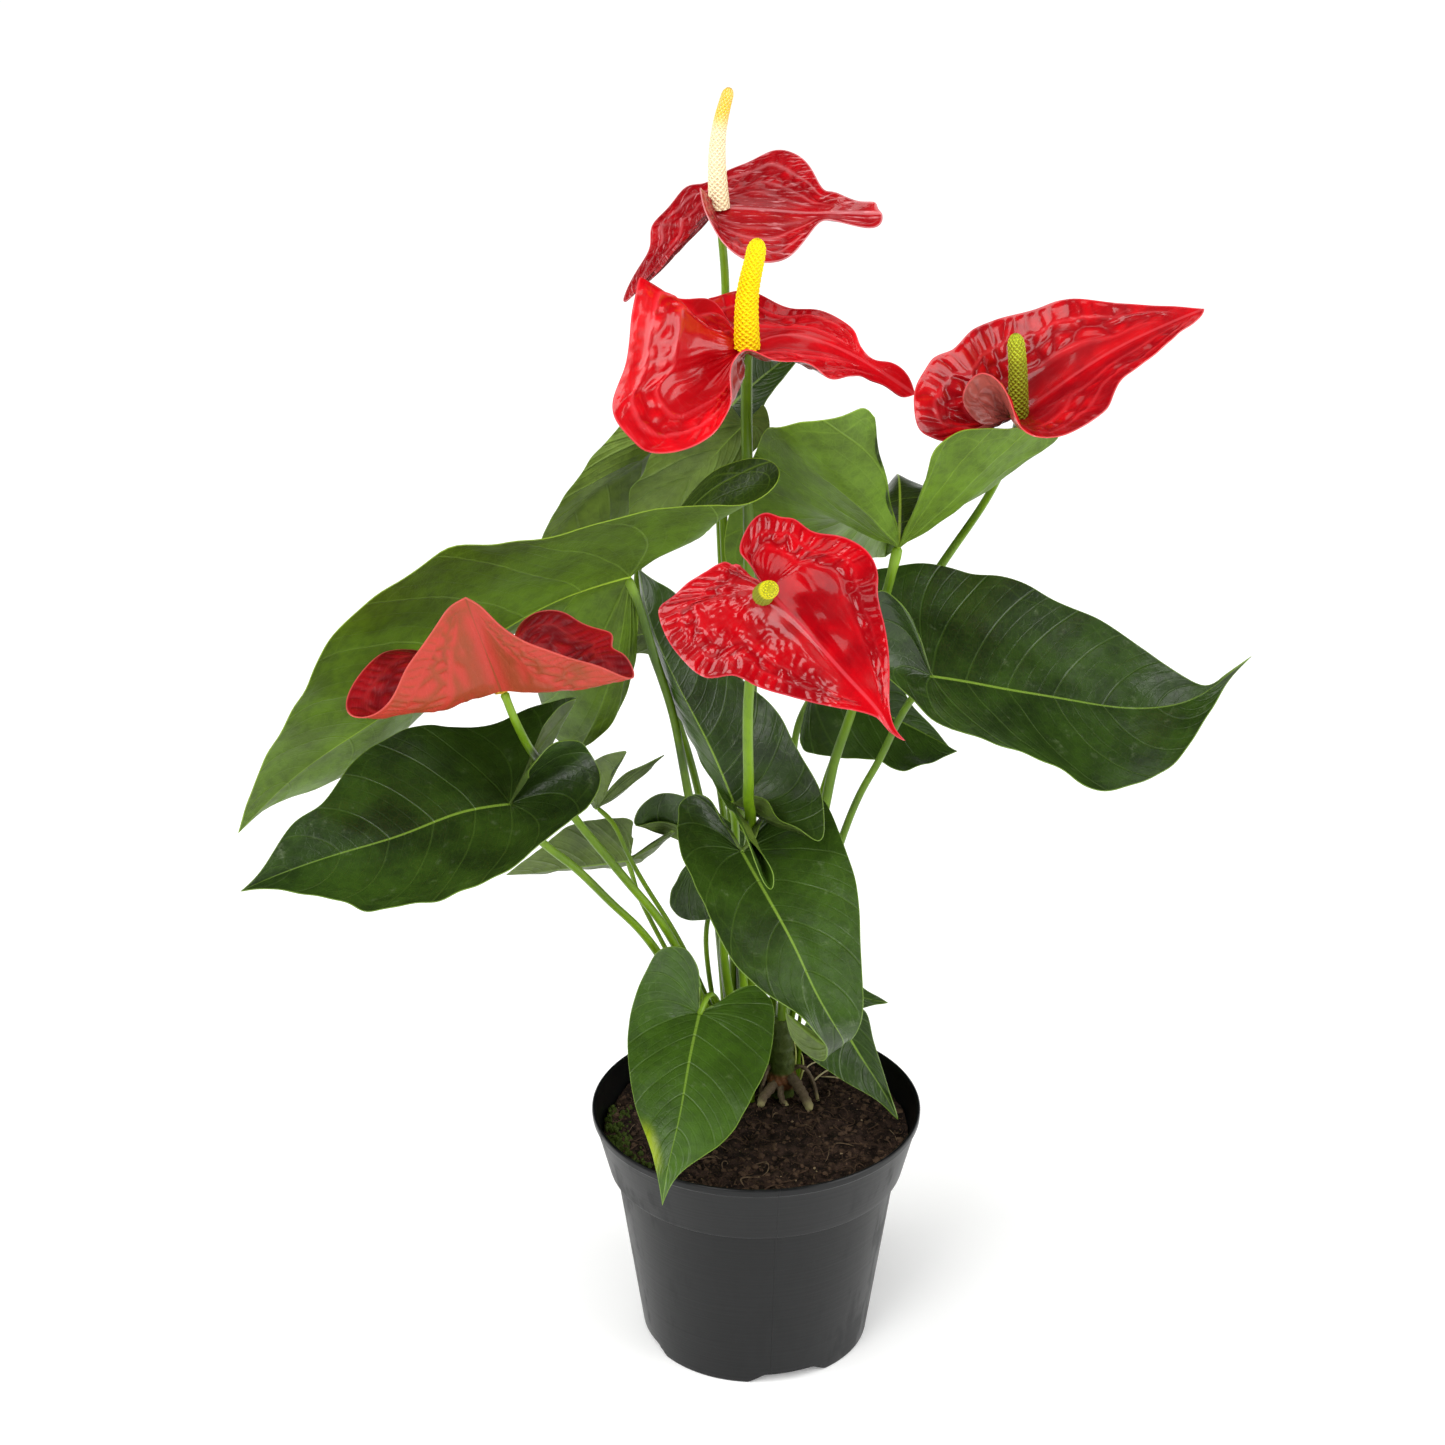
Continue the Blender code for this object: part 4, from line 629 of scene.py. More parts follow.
        right=[(-15, 78, 476), (-11, 74, 467), (-5, 72, 470), (4, 72, 489), (14, 76, 502), (22, 80, 512)],
        left=[(-23, 82, 481), (-31, 86, 486), (-34, 90, 498), (-21, 94, 512), (-4, 94, 517),
              (14, 90, 520)],
        stalk=[(-18, 82, 478), (-19, 85, 444), (-18, 84, 401), (-15, 80, 325), (-11, 64, 134),
               (-11, 64, 121), (-11, 64, 106)],
        stalk_r=(1.8, 2.3), veins=(3, 5), seed=22, tone=0.3, stalk_tone=0.6),
    "leaf_small_left": dict(
        mid=[(-80, -5, 305), (-84, 25, 295), (-89, 45, 289), (-93, 60, 284)],
        right=[(-78, -6, 308), (-67, -4, 321), (-53, 0, 327), (-46, 4, 329), (-51, 10, 322),
               (-64, 25, 305), (-77, 40, 289), (-86, 52, 282)],
        left=[(-78, -8, 310), (-74, -16, 326), (-69, -22, 337), (-64, -28, 346), (-71, -26, 344),
              (-79, -20, 338), (-88, -5, 324), (-94, 20, 305), (-95, 42, 291)],
        stalk=[(-79, -4, 304), (-72, -8, 298), (-65, -8, 282), (-52, 8, 247), (-37, 16, 214),
               (-15, 44, 134), (-15, 44, 121), (-15, 44, 106)],
        stalk_r=(1.1, 1.5), veins=(3, 5), seed=24, tone=0.25, stalk_tone=0.6),
    "leaf_small_low_left": dict(
        mid=[(-64, 8, 270), (-82, 7, 268), (-99, 5, 267), (-126, 2, 264)],
        right=[(-62, 10, 269), (-51, 12, 277), (-42, 10, 285), (-45, 16, 278), (-57, 26, 261),
               (-75, 30, 255), (-95, 26, 256), (-112, 14, 259)],
        left=[(-63, 6, 275), (-63, 2, 285), (-62, 2, 294), (-71, 0, 297), (-85, -2, 296), (-95, -4, 293),
              (-104, -6, 286), (-116, -4, 275)],
        stalk=[(-63, 8, 269), (-62, 12, 255), (-58, 16, 240), (-18, 37, 134), (-18, 37, 121),
               (-18, 37, 106)],
        stalk_r=(1.1, 1.5), veins=(3, 5), seed=26, tone=0.35, stalk_tone=0.6),
    "leaf_low_back": dict(
        mid=[(-26, 34, 262), (-14, 38, 253), (3, 36, 245), (20, 30, 238)],
        right=[(-29, 34, 257), (-34, 30, 257), (-39, 26, 252), (-44, 24, 240), (-42, 26, 230),
               (-36, 30, 224), (-25, 34, 222), (-8, 36, 224), (7, 34, 229)],
        left=[(-29, 30, 268), (-35, 24, 278), (-43, 18, 285), (-53, 12, 289), (-61, 8, 289),
              (-60, 6, 297), (-55, 8, 302), (-47, 14, 303), (-39, 22, 299), (-26, 30, 289),
              (-8, 36, 272), (8, 36, 254)],
        stalk=[(-26, 36, 259), (-23, 44, 228), (-26, 44, 205), (-18, 50, 134), (-18, 50, 121),
               (-18, 50, 106)],
        stalk_r=(1.2, 1.5), veins=(3, 5), seed=28, tone=0.4, stalk_tone=0.5),
    "leaf_low_right": dict(
        mid=[(42, 15, 176), (52, 5, 161), (64, -5, 145), (73, -12, 130)],
        right=[(38, 12, 181), (32, 10, 182), (25, 8, 174), (23, 6, 164), (27, 4, 158), (34, 2, 153),
               (48, -2, 145), (62, -8, 139), (70, -12, 133)],
        left=[(46, 16, 180), (52, 20, 179), (57, 18, 176), (60, 10, 167), (65, 0, 153), (69, -8, 142)],
        stalk=[(41, 17, 176), (31, 24, 170), (21, 40, 128), (21, 40, 121), (21, 40, 106)],
        stalk_r=(1.0, 1.3), veins=(3, 4), seed=30, tone=0.35, stalk_tone=0.6),
    "leaf_low_right_back": dict(
        mid=[(36, 42, 177), (52, 38, 175), (69, 34, 173)],
        right=[(37, 40, 173), (44, 36, 168), (55, 35, 169), (63, 34, 172)],
        left=[(38, 44, 182), (47, 46, 183), (57, 42, 177), (64, 37, 175)],
        stalk=[(36, 43, 176), (26, 42, 170), (23, 47, 128), (23, 47, 121), (23, 47, 106)],
        stalk_r=(0.9, 1.2), veins=(3, 4), seed=32, tone=0.5, stalk_tone=0.6),
    "leaf_back_left_low": dict(
        mid=[(-36, 44, 381), (-54, 46, 378), (-74, 48, 373), (-97, 50, 363)],
        right=[(-35, 46, 376), (-33, 50, 363), (-41, 52, 359), (-54, 52, 362), (-69, 52, 363),
               (-84, 52, 362)],
        left=[(-35, 42, 386), (-32, 40, 395), (-38, 38, 401), (-53, 38, 403), (-71, 42, 394),
              (-86, 46, 379)],
        stalk=[(-35, 46, 379), (-26, 48, 329), (-15, 42, 258), (-11, 50, 134), (-11, 50, 121),
               (-11, 50, 106)],
        stalk_r=(1.6, 2.1), veins=(3, 5), seed=34, tone=0.3, stalk_tone=0.5),
}

# These two leaves get bright greens that are painted light shining through them from behind.
LIGHT_LEAVES = ("leaf_left_high", "leaf_right_high")

FAN, ALONG, ACROSS = 44, 66, 26
MID_PULL, SOFTEN = 1.15, 0.035


def spread(line, count, end):
    """Fractions from 0 to end, half spaced by length and half by how far the line turns."""
    u = np.linspace(0, 1, len(line))
    t = unit(np.gradient(line, axis=0))
    bend = np.concatenate([[0.0], np.arccos(np.clip((t[1:] * t[:-1]).sum(axis=1), -1, 1))])
    bend[u > end] = 0
    q = 0.5 * np.minimum(u / end, 1) + 0.5 * np.cumsum(bend) / max(bend.sum(), 1e-9)
    return np.interp(np.linspace(0, 1, count), q + u * 1e-9, u)


def along_line(line, f):
    """Direction of a line at fractions of its length."""
    run = unit(np.gradient(line, axis=0))
    return unit(np.stack([np.interp(f, np.linspace(0, 1, len(run)), run[:, k]) for k in range(3)], axis=1))


def half_blade(leaf, key, side, fan, rows, across):
    """One half of a blade: foot(f)(1 - v) + edge(f) v + up(f) bow width 4v(1 - v). Rows fan out from the
    junction round the lobe, then step along the midrib to the tip. Gives the grid and, at each point, its
    place round the leaf (0 notch, 1 end of the fan, 2 tip), its share v of the way out, and millimetres
    from the midrib, from the margin and round the margin from the notch."""
    mid = smooth_line(leaf["mid"])
    margin = smooth_line(leaf[key] + [leaf["mid"][-1]])
    axis = unit(np.subtract(leaf["mid"][1], leaf["mid"][0]))
    length = np.linalg.norm(np.subtract(leaf["mid"][-1], leaf["mid"][0]))
    ahead = (margin - mid[0]) @ axis / length
    lobe_end = np.clip(np.max(np.nonzero(ahead < 0.1)[0], initial=120) / 399, 0.25, 0.75)
    w = np.linspace(0, 1, rows + 1)[1:]
    f = np.concatenate([spread(margin, fan, lobe_end), lobe_end + (1 - lobe_end) * w])
    m = np.concatenate([np.zeros(fan), w**MID_PULL])
    foot, edge = at_fraction(mid, m), at_fraction(margin, f)
    run = along_line(margin, f)
    up = side * unit(np.cross(edge - foot, run))
    up[-1] = up[-2]
    near = np.exp(-((f[:, None] - f[None, :]) / SOFTEN) ** 2)
    up = unit(near @ up)
    v = np.linspace(0, 1, across + 1) ** 0.92
    width = np.linalg.norm(edge - foot, axis=1)
    bow = leaf.get("bow", (-0.06, -0.06))[0 if side > 0 else 1] * np.clip(f / lobe_end, 0, 1)
    grid = foot[:, None] * (1 - v)[None, :, None] + edge[:, None] * v[None, :, None]
    grid += up[:, None] * (bow * width)[:, None, None] * (4 * v * (1 - v))[None, :, None]
    grid[-1] = mid[-1]
    grid[:, 0] = foot
    ray = unit(edge - foot)
    from_rib = np.linalg.norm(np.cross(ray, along_line(mid, m)), axis=1)
    from_rib = np.where(m > 0, from_rib, 1.0)
    from_edge = np.linalg.norm(np.cross(ray, run), axis=1)
    away = (from_rib * width)[:, None] * v
    rim = (np.maximum(from_edge, 0.3) * width)[:, None] * (1 - v)
    place = np.where(f < lobe_end, f / lobe_end, 1 + (f - lobe_end) / (1 - lobe_end))
    whole = np.linalg.norm(np.diff(margin, axis=0), axis=1).sum()
    level = np.ones_like(away)
    return dict(grid=grid, place=place[:, None] * level, v=v * level, away=away, rim=rim,
                round=f[:, None] * whole * level)


def lanes_of(place, v, basal, side, bend):
    """Vein lanes: whole numbers are veins. They count the basal veins round the lobe and then the side
    veins up the midrib, and each lane bends forward as it goes out: base(place) - bend v squared."""
    return np.where(place < 1, basal * place, basal + side * (place - 1)) - bend * v**2


def lane_width(grid, lane):
    """Millimetres per lane: one over the lane field's slope on the surface."""
    gu, gv = np.gradient(grid, axis=0), np.gradient(grid, axis=1)
    fu, fv = np.gradient(lane, axis=0), np.gradient(lane, axis=1)
    e, f, g = (gu * gu).sum(-1), (gu * gv).sum(-1), (gv * gv).sum(-1)
    det = np.maximum(e * g - f * f, 1e-9)
    slope = np.sqrt(np.maximum(g * fu**2 - 2 * f * fu * fv + e * fv**2, 1e-12) / det)
    return np.clip(1 / slope, 0.05, 80)


def step(x, low, high):
    """Smooth step from 0 at low to 1 at high: t squared (3 - 2 t)."""
    t = np.clip((x - low) / (high - low), 0, 1)
    return t * t * (3 - 2 * t)


def normals_of(points, tri):
    """Area-weighted normals at the points."""
    cross = np.cross(points[tri[:, 1]] - points[tri[:, 0]], points[tri[:, 2]] - points[tri[:, 0]])
    flat = np.stack([np.bincount(tri.ravel(), np.repeat(cross[:, k], 3), len(points)) for k in range(3)], 1)
    return unit(flat)


def blade(leaf, thickness, form, fan=FAN, rows=ALONG, across=ACROSS):
    """Closed sheet from two half blades. form(fields) gives the relief of the upper and the lower face in
    millimetres along the normal. The faces lie half a thickness either side and a rim strip joins them."""
    halves = [half_blade(leaf, key, side, fan, rows, across) for key, side in (("right", 1), ("left", -1))]
    fields = {key: np.stack([half[key] for half in halves]) for key in halves[0]}
    grid = fields["grid"]
    fields["lane"] = lanes_of(fields["place"], fields["v"], *leaf["veins"], leaf.get("bend", 0.8))
    fields["pitch"] = np.stack([lane_width(g, n) for g, n in zip(grid, fields["lane"])])
    upper_relief, lower_relief = form(fields)
    quads = grid_corners(*grid.shape[1:3])
    corners = np.concatenate([quads, quads[:, ::-1] + grid[0, ..., 0].size])
    points, first, tri, own = weld(grid.reshape(-1, 3), corners)
    normal = normals_of(points, tri)
    thin = thickness * (0.55 + 0.45 * step(fields["rim"].reshape(-1)[first], 0, 6))
    top = points + normal * (thin / 2 + upper_relief.reshape(-1)[first])[:, None]
    bottom = points - normal * (thin / 2 - lower_relief.reshape(-1)[first])[:, None]
    n = len(points)
    ends = np.concatenate([tri[:, [0, 1]], tri[:, [1, 2]], tri[:, [2, 0]]])
    end_own = np.concatenate([own[:, [0, 1]], own[:, [1, 2]], own[:, [2, 0]]])
    _, back, count = np.unique(np.sort(ends, 1) @ [n, 1], return_inverse=True, return_counts=True)
    open_edge = count[back.reshape(-1)] == 1
    (a, b), (oa, ob) = ends[open_edge].T, end_own[open_edge].T
    strip = np.concatenate([np.stack([b, a, a + n], 1), np.stack([b, a + n, b + n], 1)])
    strip_own = np.concatenate([np.stack([ob, oa, oa], 1), np.stack([ob, oa, ob], 1)])
    triangles = np.concatenate([tri, tri[:, ::-1] + n, strip])
    owners = np.concatenate([own, own[:, ::-1], strip_own])
    flat = {key: value.reshape(-1)[owners] for key, value in fields.items() if value.ndim == 3}
    flat["rim"][2 * len(tri):] = 0
    flat["upper"] = np.concatenate([np.ones(tri.shape), np.zeros(tri.shape), np.full(strip.shape, 0.5)])
    return np.concatenate([top, bottom]), triangles, flat


def leaf_form(leaf):
    """Relief of a leaf: the tissue puffs up between sunken veins, the midrib is a channel above and a round
    rib below, the margin ripples a little and the whole sheet is slightly uneven. It also gives each half
    its tone, which is the leaf's own shade of green, except that where a leaf lists two tones the paler
    half is painted sheen; and it says how near the spot is where the margin turns yellow."""
    def form(s):
        near = step(s["away"], 0, 9) * step(s["rim"], 0, 7)
        puff = np.abs(np.sin(np.pi * s["lane"])) ** 0.7 * np.minimum(s["pitch"] / 14, 1) * near
        uneven = waves(s["grid"], 46, 14, leaf["seed"]) * 0.9
        uneven = uneven + waves(s["grid"], 19, 14, leaf["seed"] + 50) * 0.25
        s["tone"] = s["v"] * 0 + np.reshape(leaf["tone"], (-1, 1, 1))
        s["yellow"] = np.exp(-(((s["grid"] - leaf.get("yellow_spot", (0, 0, 900))) / 15) ** 2).sum(-1))
        ripple = np.sin(s["lane"] * 2.6 * np.pi + leaf["seed"]) * (s["v"] ** 4) * 0.25
        sheet = leaf.get("puff", 0.42) * puff + uneven * step(s["away"], 0, 14)
        sheet = sheet + ripple * step(s["away"], 0, 30)
        rib = np.exp(-((s["away"] / 1.5) ** 2)) * step(2.02 - s["place"], 0, 0.25)
        side_ribs = np.exp(-((np.abs(s["lane"] - np.round(s["lane"])) * s["pitch"] / 0.9) ** 2)) * near
        return sheet - 0.55 * rib, sheet - 1.15 * rib - 0.3 * side_ribs
    return form


def leaf_finish(name, top, top_light, under, under_light, vein, rib, line, glare, shine=0.5):
    """Material of a leaf, upper face and underside in one, drawn from the vein lanes on the mesh."""
    mat, tree, shader = finish(name, IOR=1.45, Specular_IOR_Level=shine)
    upper, away, rim, tone, place = (field(tree, key) for key in ("upper", "away", "rim", "tone", "place"))
    lane, pitch = field(tree, "lane"), field(tree, "pitch")
    off_vein = calc(tree, "MULTIPLY", calc(tree, "PINGPONG", lane, 0.5), pitch)
    off_small = calc(tree, "MULTIPLY", calc(tree, "PINGPONG", calc(tree, "MULTIPLY", lane, 3.0), 0.5),
                     calc(tree, "DIVIDE", pitch, 3.0))
    veins = between(tree, off_vein, 0.15, 0.8, 1.0, 0.0)
    small = between(tree, off_small, 0.1, 0.6, 1.0, 0.0)
    # The outer vein runs 4 to 8 mm inside the margin and arches from one side vein to the next.
    arch = calc(tree, "MULTIPLY_ADD", calc(tree, "PINGPONG", lane, 0.5), -7.0, 8.0)
    loop = between(tree, calc(tree, "ABSOLUTE", calc(tree, "SUBTRACT", rim, arch)), 0.15, 0.7, 1.0, 0.0)
    mesh_scale = {"Vector": add(tree, "TexCoord").outputs["Object"], "Scale": 1000 / 3.2, "Randomness": 1.0}
    net = add(tree, "TexVoronoi", mesh_scale, feature="DISTANCE_TO_EDGE").outputs["Distance"]
    net = between(tree, net, 0.02, 0.13, 1.0, 0.0)
    patch, fleck = speckle(tree, 26.0, 4.0, 0.6), speckle(tree, 5.0, 3.0, 0.5)
    # tone and broad patches pick between the dark and pale greens: a leaf's own shade, and on a leaf with two
    # tones a paler half that is painted sheen.
    mix = calc(tree, "MULTIPLY_ADD", tone, 0.75, between(tree, patch, 0.3, 0.7, -0.05, 0.3))
    above = blend(tree, mix, linear(top), linear(top_light))
    below = blend(tree, mix, linear(under), linear(under_light))
    face = blend(tree, upper, below, above)
    face = blend(tree, between(tree, fleck, 0.42, 0.68, 0.0, 0.22), face, linear(top))
    # Faint water marks, and a margin that turns yellow where the leaf is ageing.
    mark = calc(tree, "MULTIPLY", between(tree, speckle(tree, 9.0, 6.0, 0.7), 0.58, 0.75, 0.0, 0.12), upper)
    face = blend(tree, mark, face, linear("#B4C09A"))
    yellow = between(tree, field(tree, "yellow"), 0.2, 0.9, 0.0, 0.8)
    yellow = calc(tree, "MULTIPLY", yellow, between(tree, rim, 0, 7, 1, 0))
    face = blend(tree, yellow, face, linear("#96A80C"))
    # Veins fade out towards the tip; the midrib thins from 1 mm to a thread.
    fade = between(tree, place, 1.0, 2.0, 1.0, 0.35)
    lines = calc(tree, "MAXIMUM", veins, calc(tree, "MULTIPLY", loop, 0.6))
    lines = calc(tree, "MAXIMUM", lines, calc(tree, "MULTIPLY", calc(tree, "MAXIMUM", small, net), 0.22))
    lines = calc(tree, "MULTIPLY", calc(tree, "MULTIPLY", lines, fade), line)
    face = blend(tree, lines, face, linear(vein))
    thread = between(tree, calc(tree, "DIVIDE", away, fade), 0.35, 1.05, 1.0, 0.0)
    face = blend(tree, calc(tree, "MULTIPLY", thread, calc(tree, "MULTIPLY", fade, 0.75)), face, linear(rib))
    face = blend(tree, between(tree, rim, 0.1, 0.5, 0.4, 0.0), face, linear(rib))
    tree.links.new(face, shader.inputs["Base Color"])
    rough = calc(tree, "MULTIPLY_ADD", upper, glare - 0.5, 0.45)
    tree.links.new(calc(tree, "MULTIPLY_ADD", fleck, 0.12, rough), shader.inputs["Roughness"])
    sink = calc(tree, "ADD", calc(tree, "MULTIPLY", veins, 0.6), calc(tree, "MULTIPLY", net, 0.12))
    sink = calc(tree, "ADD", sink, calc(tree, "MULTIPLY", small, 0.3))
    sign = calc(tree, "MULTIPLY_ADD", upper, -2.0, 1.0)
    relief(tree, shader, calc(tree, "MULTIPLY_ADD", sink, sign, fleck), 0.3)
    return mat


waxy_leaf = leaf_finish("mature waxy leaf", "#13200A", "#426219", "#303C1C", "#769034", "#6E9038",
                        "#88AA3C", 0.15, 0.35)
# Greens for the leaves lit from behind: the brighter underside is painted light shining through.
painted_lit_leaf = leaf_finish("leaf with painted light through it", "#1A240C", "#3C5416", "#3A4C08", "#70981C", "#8DB038",
                       "#A8C83C", 0.22, 0.3, 0.3)

stalk_skin, tree, shader = finish("leaf stalk skin", IOR=1.43, Roughness=0.35, Specular_IOR_Level=0.35)
# Stalks: smooth, round and slightly glossy, greener and darker low down and paler by the blade.
fine, coarse = speckle(tree, 1.4, 4.0, 0.6, (1.0, 1.0, 0.12)), speckle(tree, 24.0)
tone, knee = field(tree, "tone"), field(tree, "knee")
colour = blend(tree, tone, linear("#2E4410"), linear("#6A8E12"))
colour = blend(tree, between(tree, coarse, 0.3, 0.75, 0.0, 0.35), colour, linear("#8CB214"))
colour = blend(tree, between(tree, fine, 0.5, 0.75, 0.0, 0.3), colour, linear("#3B5A14"))
colour = blend(tree, calc(tree, "MULTIPLY", knee, 0.4), colour, linear("#93B83C"))
tree.links.new(colour, shader.inputs["Base Color"])
relief(tree, shader, fine, 0.15)


def stalk_radius(radii, swelling=0.2, knee=13.0):
    """Radius along a stalk: even taper, a swollen knee behind the blade and a slightly flared foot."""
    def radius(start, left, a):
        body = radii[0] + (radii[1] - radii[0]) * start / (start + left)
        swell = 1 + swelling * np.exp(-(((start - knee * 0.55) / (knee * 0.42)) ** 2))
        foot = 1 + 0.22 * np.exp(-left / 22)
        return body * swell * foot * (1 + 0.03 * np.sin(2 * a + 0.05 * start))
    return radius


LEAF_T, STALK_SUNK = 0.8, 1.5
for name, leaf in LEAVES.items():
    points, tri, fields = blade(leaf, LEAF_T, leaf_form(leaf))
    # Leaves in LIGHT_LEAVES get the greens with painted light shining through.
    young = name in LIGHT_LEAVES
    piece(name + "_blade", points, tri, painted_lit_leaf if young else waxy_leaf, name,
          "leaf_light" if young else "leaf", 50, **fields)
    ahead = unit(np.subtract(leaf["mid"][1], leaf["mid"][0]))
    path = [leaf["mid"][0] + ahead * STALK_SUNK] + leaf["stalk"][1:]
    grid, f, a, length = tube(path, stalk_radius(leaf["stalk_r"]), 16, 110)
    points, tri, own = surfaced(grid)
    knee = np.exp(-(((f * length - 7) / 7) ** 2))
    piece(name + "_stalk", points, tri, stalk_skin, None, "stem", 80, knee=np.repeat(knee, len(a))[own],
          tone=np.full(tri.shape, leaf.get("stalk_tone", 0.5)))

# Blooms: a waxy red spathe, thicker than a leaf and puffed into cells between its netted veins, a spadix
# set with tiny flowers in crossing spirals, and the smooth round peduncle that carries both.

